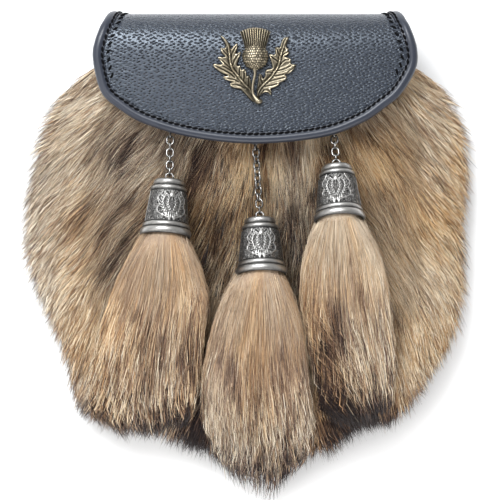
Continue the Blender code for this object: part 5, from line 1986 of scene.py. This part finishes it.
def headMesh():
    # a ball set with small uneven scales
    rows, columns = 90, 170
    lat, lon = ballTurns(rows, columns, 0.02)
    band = (lat / math.pi + 0.5) * badge["headRows"] + 0.25 * patchNoise(lon * 5.0, lat * 3.0 + 8.0, 21)
    around = np.round(badge["headScales"] * np.clip(np.cos(lat), 0.3, 1))
    place = lon / (2 * math.pi) * around + 0.5 * (np.floor(band) % 2)
    u, v = place % 1 - 0.5, band % 1
    uneven = np.random.RandomState(5).uniform(0.45, 1.0, (64, 64))
    uneven = uneven[np.floor(band).astype(int) % 64, np.floor(place).astype(int) % 64]
    scale = uneven * np.clip(1 - (u / 0.48) ** 2, 0, 1) ** 0.5 * np.sin(math.pi * v) ** 0.7
    grow = 1 + 0.42 * scale / badge["headRadius"]
    radius = badge["headRadius"]
    px = badge["headCentre"][0] + np.cos(lat) * np.sin(lon) * radius * grow
    py = badge["headCentre"][1] + np.sin(lat) * radius * grow
    pz = badge["plate"] + np.cos(lat) * np.cos(lon) * badge["headHeight"] * grow
    points = np.stack([px, py, np.maximum(pz, 0.1)], -1).reshape(-1, 3)
    shade = np.clip(scale * 1.1, 0, 1).ravel()
    return brassPart("head", points, gridFaces(rows, columns, wrap=True), shade)


def tuftMesh():
    # a fan of fine ribs with a thin rim along its top, like a brush
    values = badge
    columns, rows = values["tuftRibs"] * 10 + 1, 20
    across = np.linspace(-1, 1, columns)[None, :]
    up = np.linspace(0, 1, rows)[:, None]
    arch = 1.9 * (1 - across**2)
    halfWidth = values["tuftFootHalf"] + (values["tuftTopHalf"] - values["tuftFootHalf"]) * up**1.2
    length = values["tuftTopY"] - values["tuftFootY"] + 2.0
    y = values["tuftFootY"] - 2.0 + length * up + arch * (0.3 + 0.7 * up)
    x = values["headCentre"][0] + halfWidth * across
    ribs = (np.clip(np.cos(across * math.pi * values["tuftRibs"]), -0.5, 1) + 0.5) / 1.5
    dome = np.sqrt(np.clip(1 - (0.9 * across) ** 2, 0, 1))
    rim = smoothStep((up - 0.94) / 0.05) * np.clip(1.4 - 1.3 * np.abs(across), 0, 1)
    z = 0.3 + (3.0 - 0.9 * up) * dome + 0.8 * ribs * (1 - rim) + 0.4 * rim
    # painted light: the ribs are brighter towards the top and the middle and darker at both sides, and
    # the rim's middle has a painted highlight
    shade = np.clip(ribs * (0.6 + 0.6 * up) * (1.15 - 0.65 * np.abs(across)) + 0.8 * rim, 0, 1)
    top = np.stack([x + 0 * up, y + 0 * across, z], -1).reshape(-1, 3)
    return withFoot("tuft", top, gridFaces(rows, columns), shade.ravel(), 0.12)


def stemMesh():
    line = smoothLine([(x, y, 1.8) for x, y in badgeStem])
    radius = np.interp(np.linspace(0, 1, len(line)), [0, 0.1, 0.75, 0.9, 1], [1.1, 0.6, 0.58, 0.9, 1.1])
    sides = 12
    points = tube(line, radius, sides).reshape(-1, 3)
    caps = [tuple(range(sides - 1, -1, -1)), tuple(range(len(points) - sides, len(points)))]
    faces = gridFaces(len(line), sides, wrap=True) + caps
    return brassPart("stem", points, faces, np.full(len(points), 0.72))


def footMesh():
    # the knob at the stem's foot
    rows, columns = 14, 24
    lat, lon = ballTurns(rows, columns, 0.05)
    (px, py), (a, b, c) = badge["footCentre"], badge["footHalf"]
    points = np.stack([px + a * np.cos(lat) * np.cos(lon), py + b * np.cos(lat) * np.sin(lon),
                       np.maximum(1.0 + c * np.sin(lat) + 0 * lon, 0.1)], -1).reshape(-1, 3)
    faces = gridFaces(rows, columns, wrap=True)
    return brassPart("foot", points, faces, np.full(len(points), 0.55))


def makeBadge():
    things = [leafMesh(side + "Leaf", leaf) for side, leaf in leaves.items()]
    things += [headMesh(), tuftMesh(), stemMesh(), footMesh()]
    thistle = joined("thistleBadge", things)
    mesh = thistle.data
    points = np.zeros(len(mesh.vertices) * 3)
    mesh.vertices.foreach_get("co", points)
    x, y, lift = (points.reshape(-1, 3) / mm).T
    under = onLeather(x, flapRun(y))[:, 2]
    seat = under * (1 - badge["level"]) + badge["crown"] * badge["level"]
    z = seat + leatherShape["thickness"] / 2 + badge["gap"] + lift
    mesh.vertices.foreach_set("co", (np.stack([x, y, z], 1) * mm).ravel())
    mesh.update()
    return finishPiece(pointOut(thistle), "antique_brass", "thistle_badge")


makeBadge()
print("badge made")


# The plain CAD pieces keep their shape and get their finish

carried = [
    # node, material
    ("gusset", innerBlack),
    ("front_panel", innerBlack),
    ("belt_loop", innerBlack),
    ("press_stud", studNickel),
    ("chain_anchor_left", chainSteel),
    ("chain_anchor_centre", chainSteel),
    ("chain_anchor_right", chainSteel),
]
for node, material in carried:
    nodes[node].data.materials.clear()
    nodes[node].data.materials.append(material)


# Floor, light and camera

studio = {
    "scale": 0.48,  # millimetres for each pixel of the photo
    "target": (-2.4, -19.2, 45.0),
    "distance": 1600.0,
    "sensor": 36.0,
    "frame": 500,  # pixels across
    "floorColor": (0.95, 0.95, 0.955, 1.0),
}
roomLight = [
    # height of the direction from -1 to 1, brightness
    (0.0, 0.5),
    (0.5, 0.66),
    (0.62, 0.6),
    (0.8, 0.5),
    (1.0, 0.26),
]
windowLight = [
    # nearness of the direction to the window, brightness
    (0.86, 0.0),
    (0.935, 0.14),
    (0.97, 1.1),
    (0.99, 3.4),
    (1.0, 6.0),
]
windowWay = (-0.1, 0.5, 0.86)
lights = [
    # name, place, size, power in watts, colour
    ("keyLight", (-350.0, 700.0, 1050.0), (600.0, 450.0), 14.5, (0.93, 0.97, 1.0)),
    ("leftLight", (-900.0, -300.0, 900.0), (700.0, 700.0), 4.0, (1.0, 0.99, 0.97)),
    ("footLight", (100.0, -1100.0, 800.0), (1300.0, 700.0), 11.0, (1.0, 0.99, 0.98)),
]


def makeStudio():
    scene = bpy.context.scene
    bpy.ops.mesh.primitive_plane_add(size=6.0)
    floor = bpy.context.active_object
    floor.name = "floor"
    pale = newMaterial("paleFloor", {"Roughness": 0.8, "Base Color": studio["floorColor"]})[0]
    floor.data.materials.append(pale)
    world = bpy.data.worlds.new("softRoom")
    world.use_nodes = True
    tree = world.node_tree
    way = addNode(tree, "ShaderNodeTexCoord").outputs["Generated"]
    height = addNode(tree, "ShaderNodeSeparateXYZ", {0: way}).outputs[2]
    level = calc(tree, "MULTIPLY_ADD", height, 0.5, 0.5)
    toward = vectorCalc(tree, "DOT_PRODUCT", way, windowWay)
    nearness = calc(tree, "MULTIPLY_ADD", toward, 0.5, 0.5)
    room, window = ramp(tree, level, roomLight), ramp(tree, nearness, windowLight)
    feed(tree, tree.nodes["Background"].inputs["Color"], mixColor(tree, 1.0, room, window, "ADD"))
    scene.world = world
    target = Vector(studio["target"]) * mm
    for name, place, size, power, color in lights:
        lamp = bpy.data.lights.new(name, "AREA")
        lamp.shape = "RECTANGLE"
        lamp.size, lamp.size_y = size[0] * mm, size[1] * mm
        lamp.energy = power
        lamp.color = color
        thing = bpy.data.objects.new(name, lamp)
        thing.location = Vector(place) * mm
        thing.rotation_euler = (target - thing.location).to_track_quat("-Z", "Y").to_euler()
        collection.objects.link(thing)
    lens = bpy.data.cameras.new("camera")
    lens.sensor_width = studio["sensor"]
    lens.lens = studio["sensor"] * studio["distance"] / (studio["frame"] * studio["scale"])
    lens.clip_end = 10.0
    camera = bpy.data.objects.new("camera", lens)
    camera.location = target + Vector((0.0, 0.0, studio["distance"] * mm))
    collection.objects.link(camera)
    scene.camera = camera
    scene.view_settings.view_transform = "Standard"


makeStudio()
print("studio made")
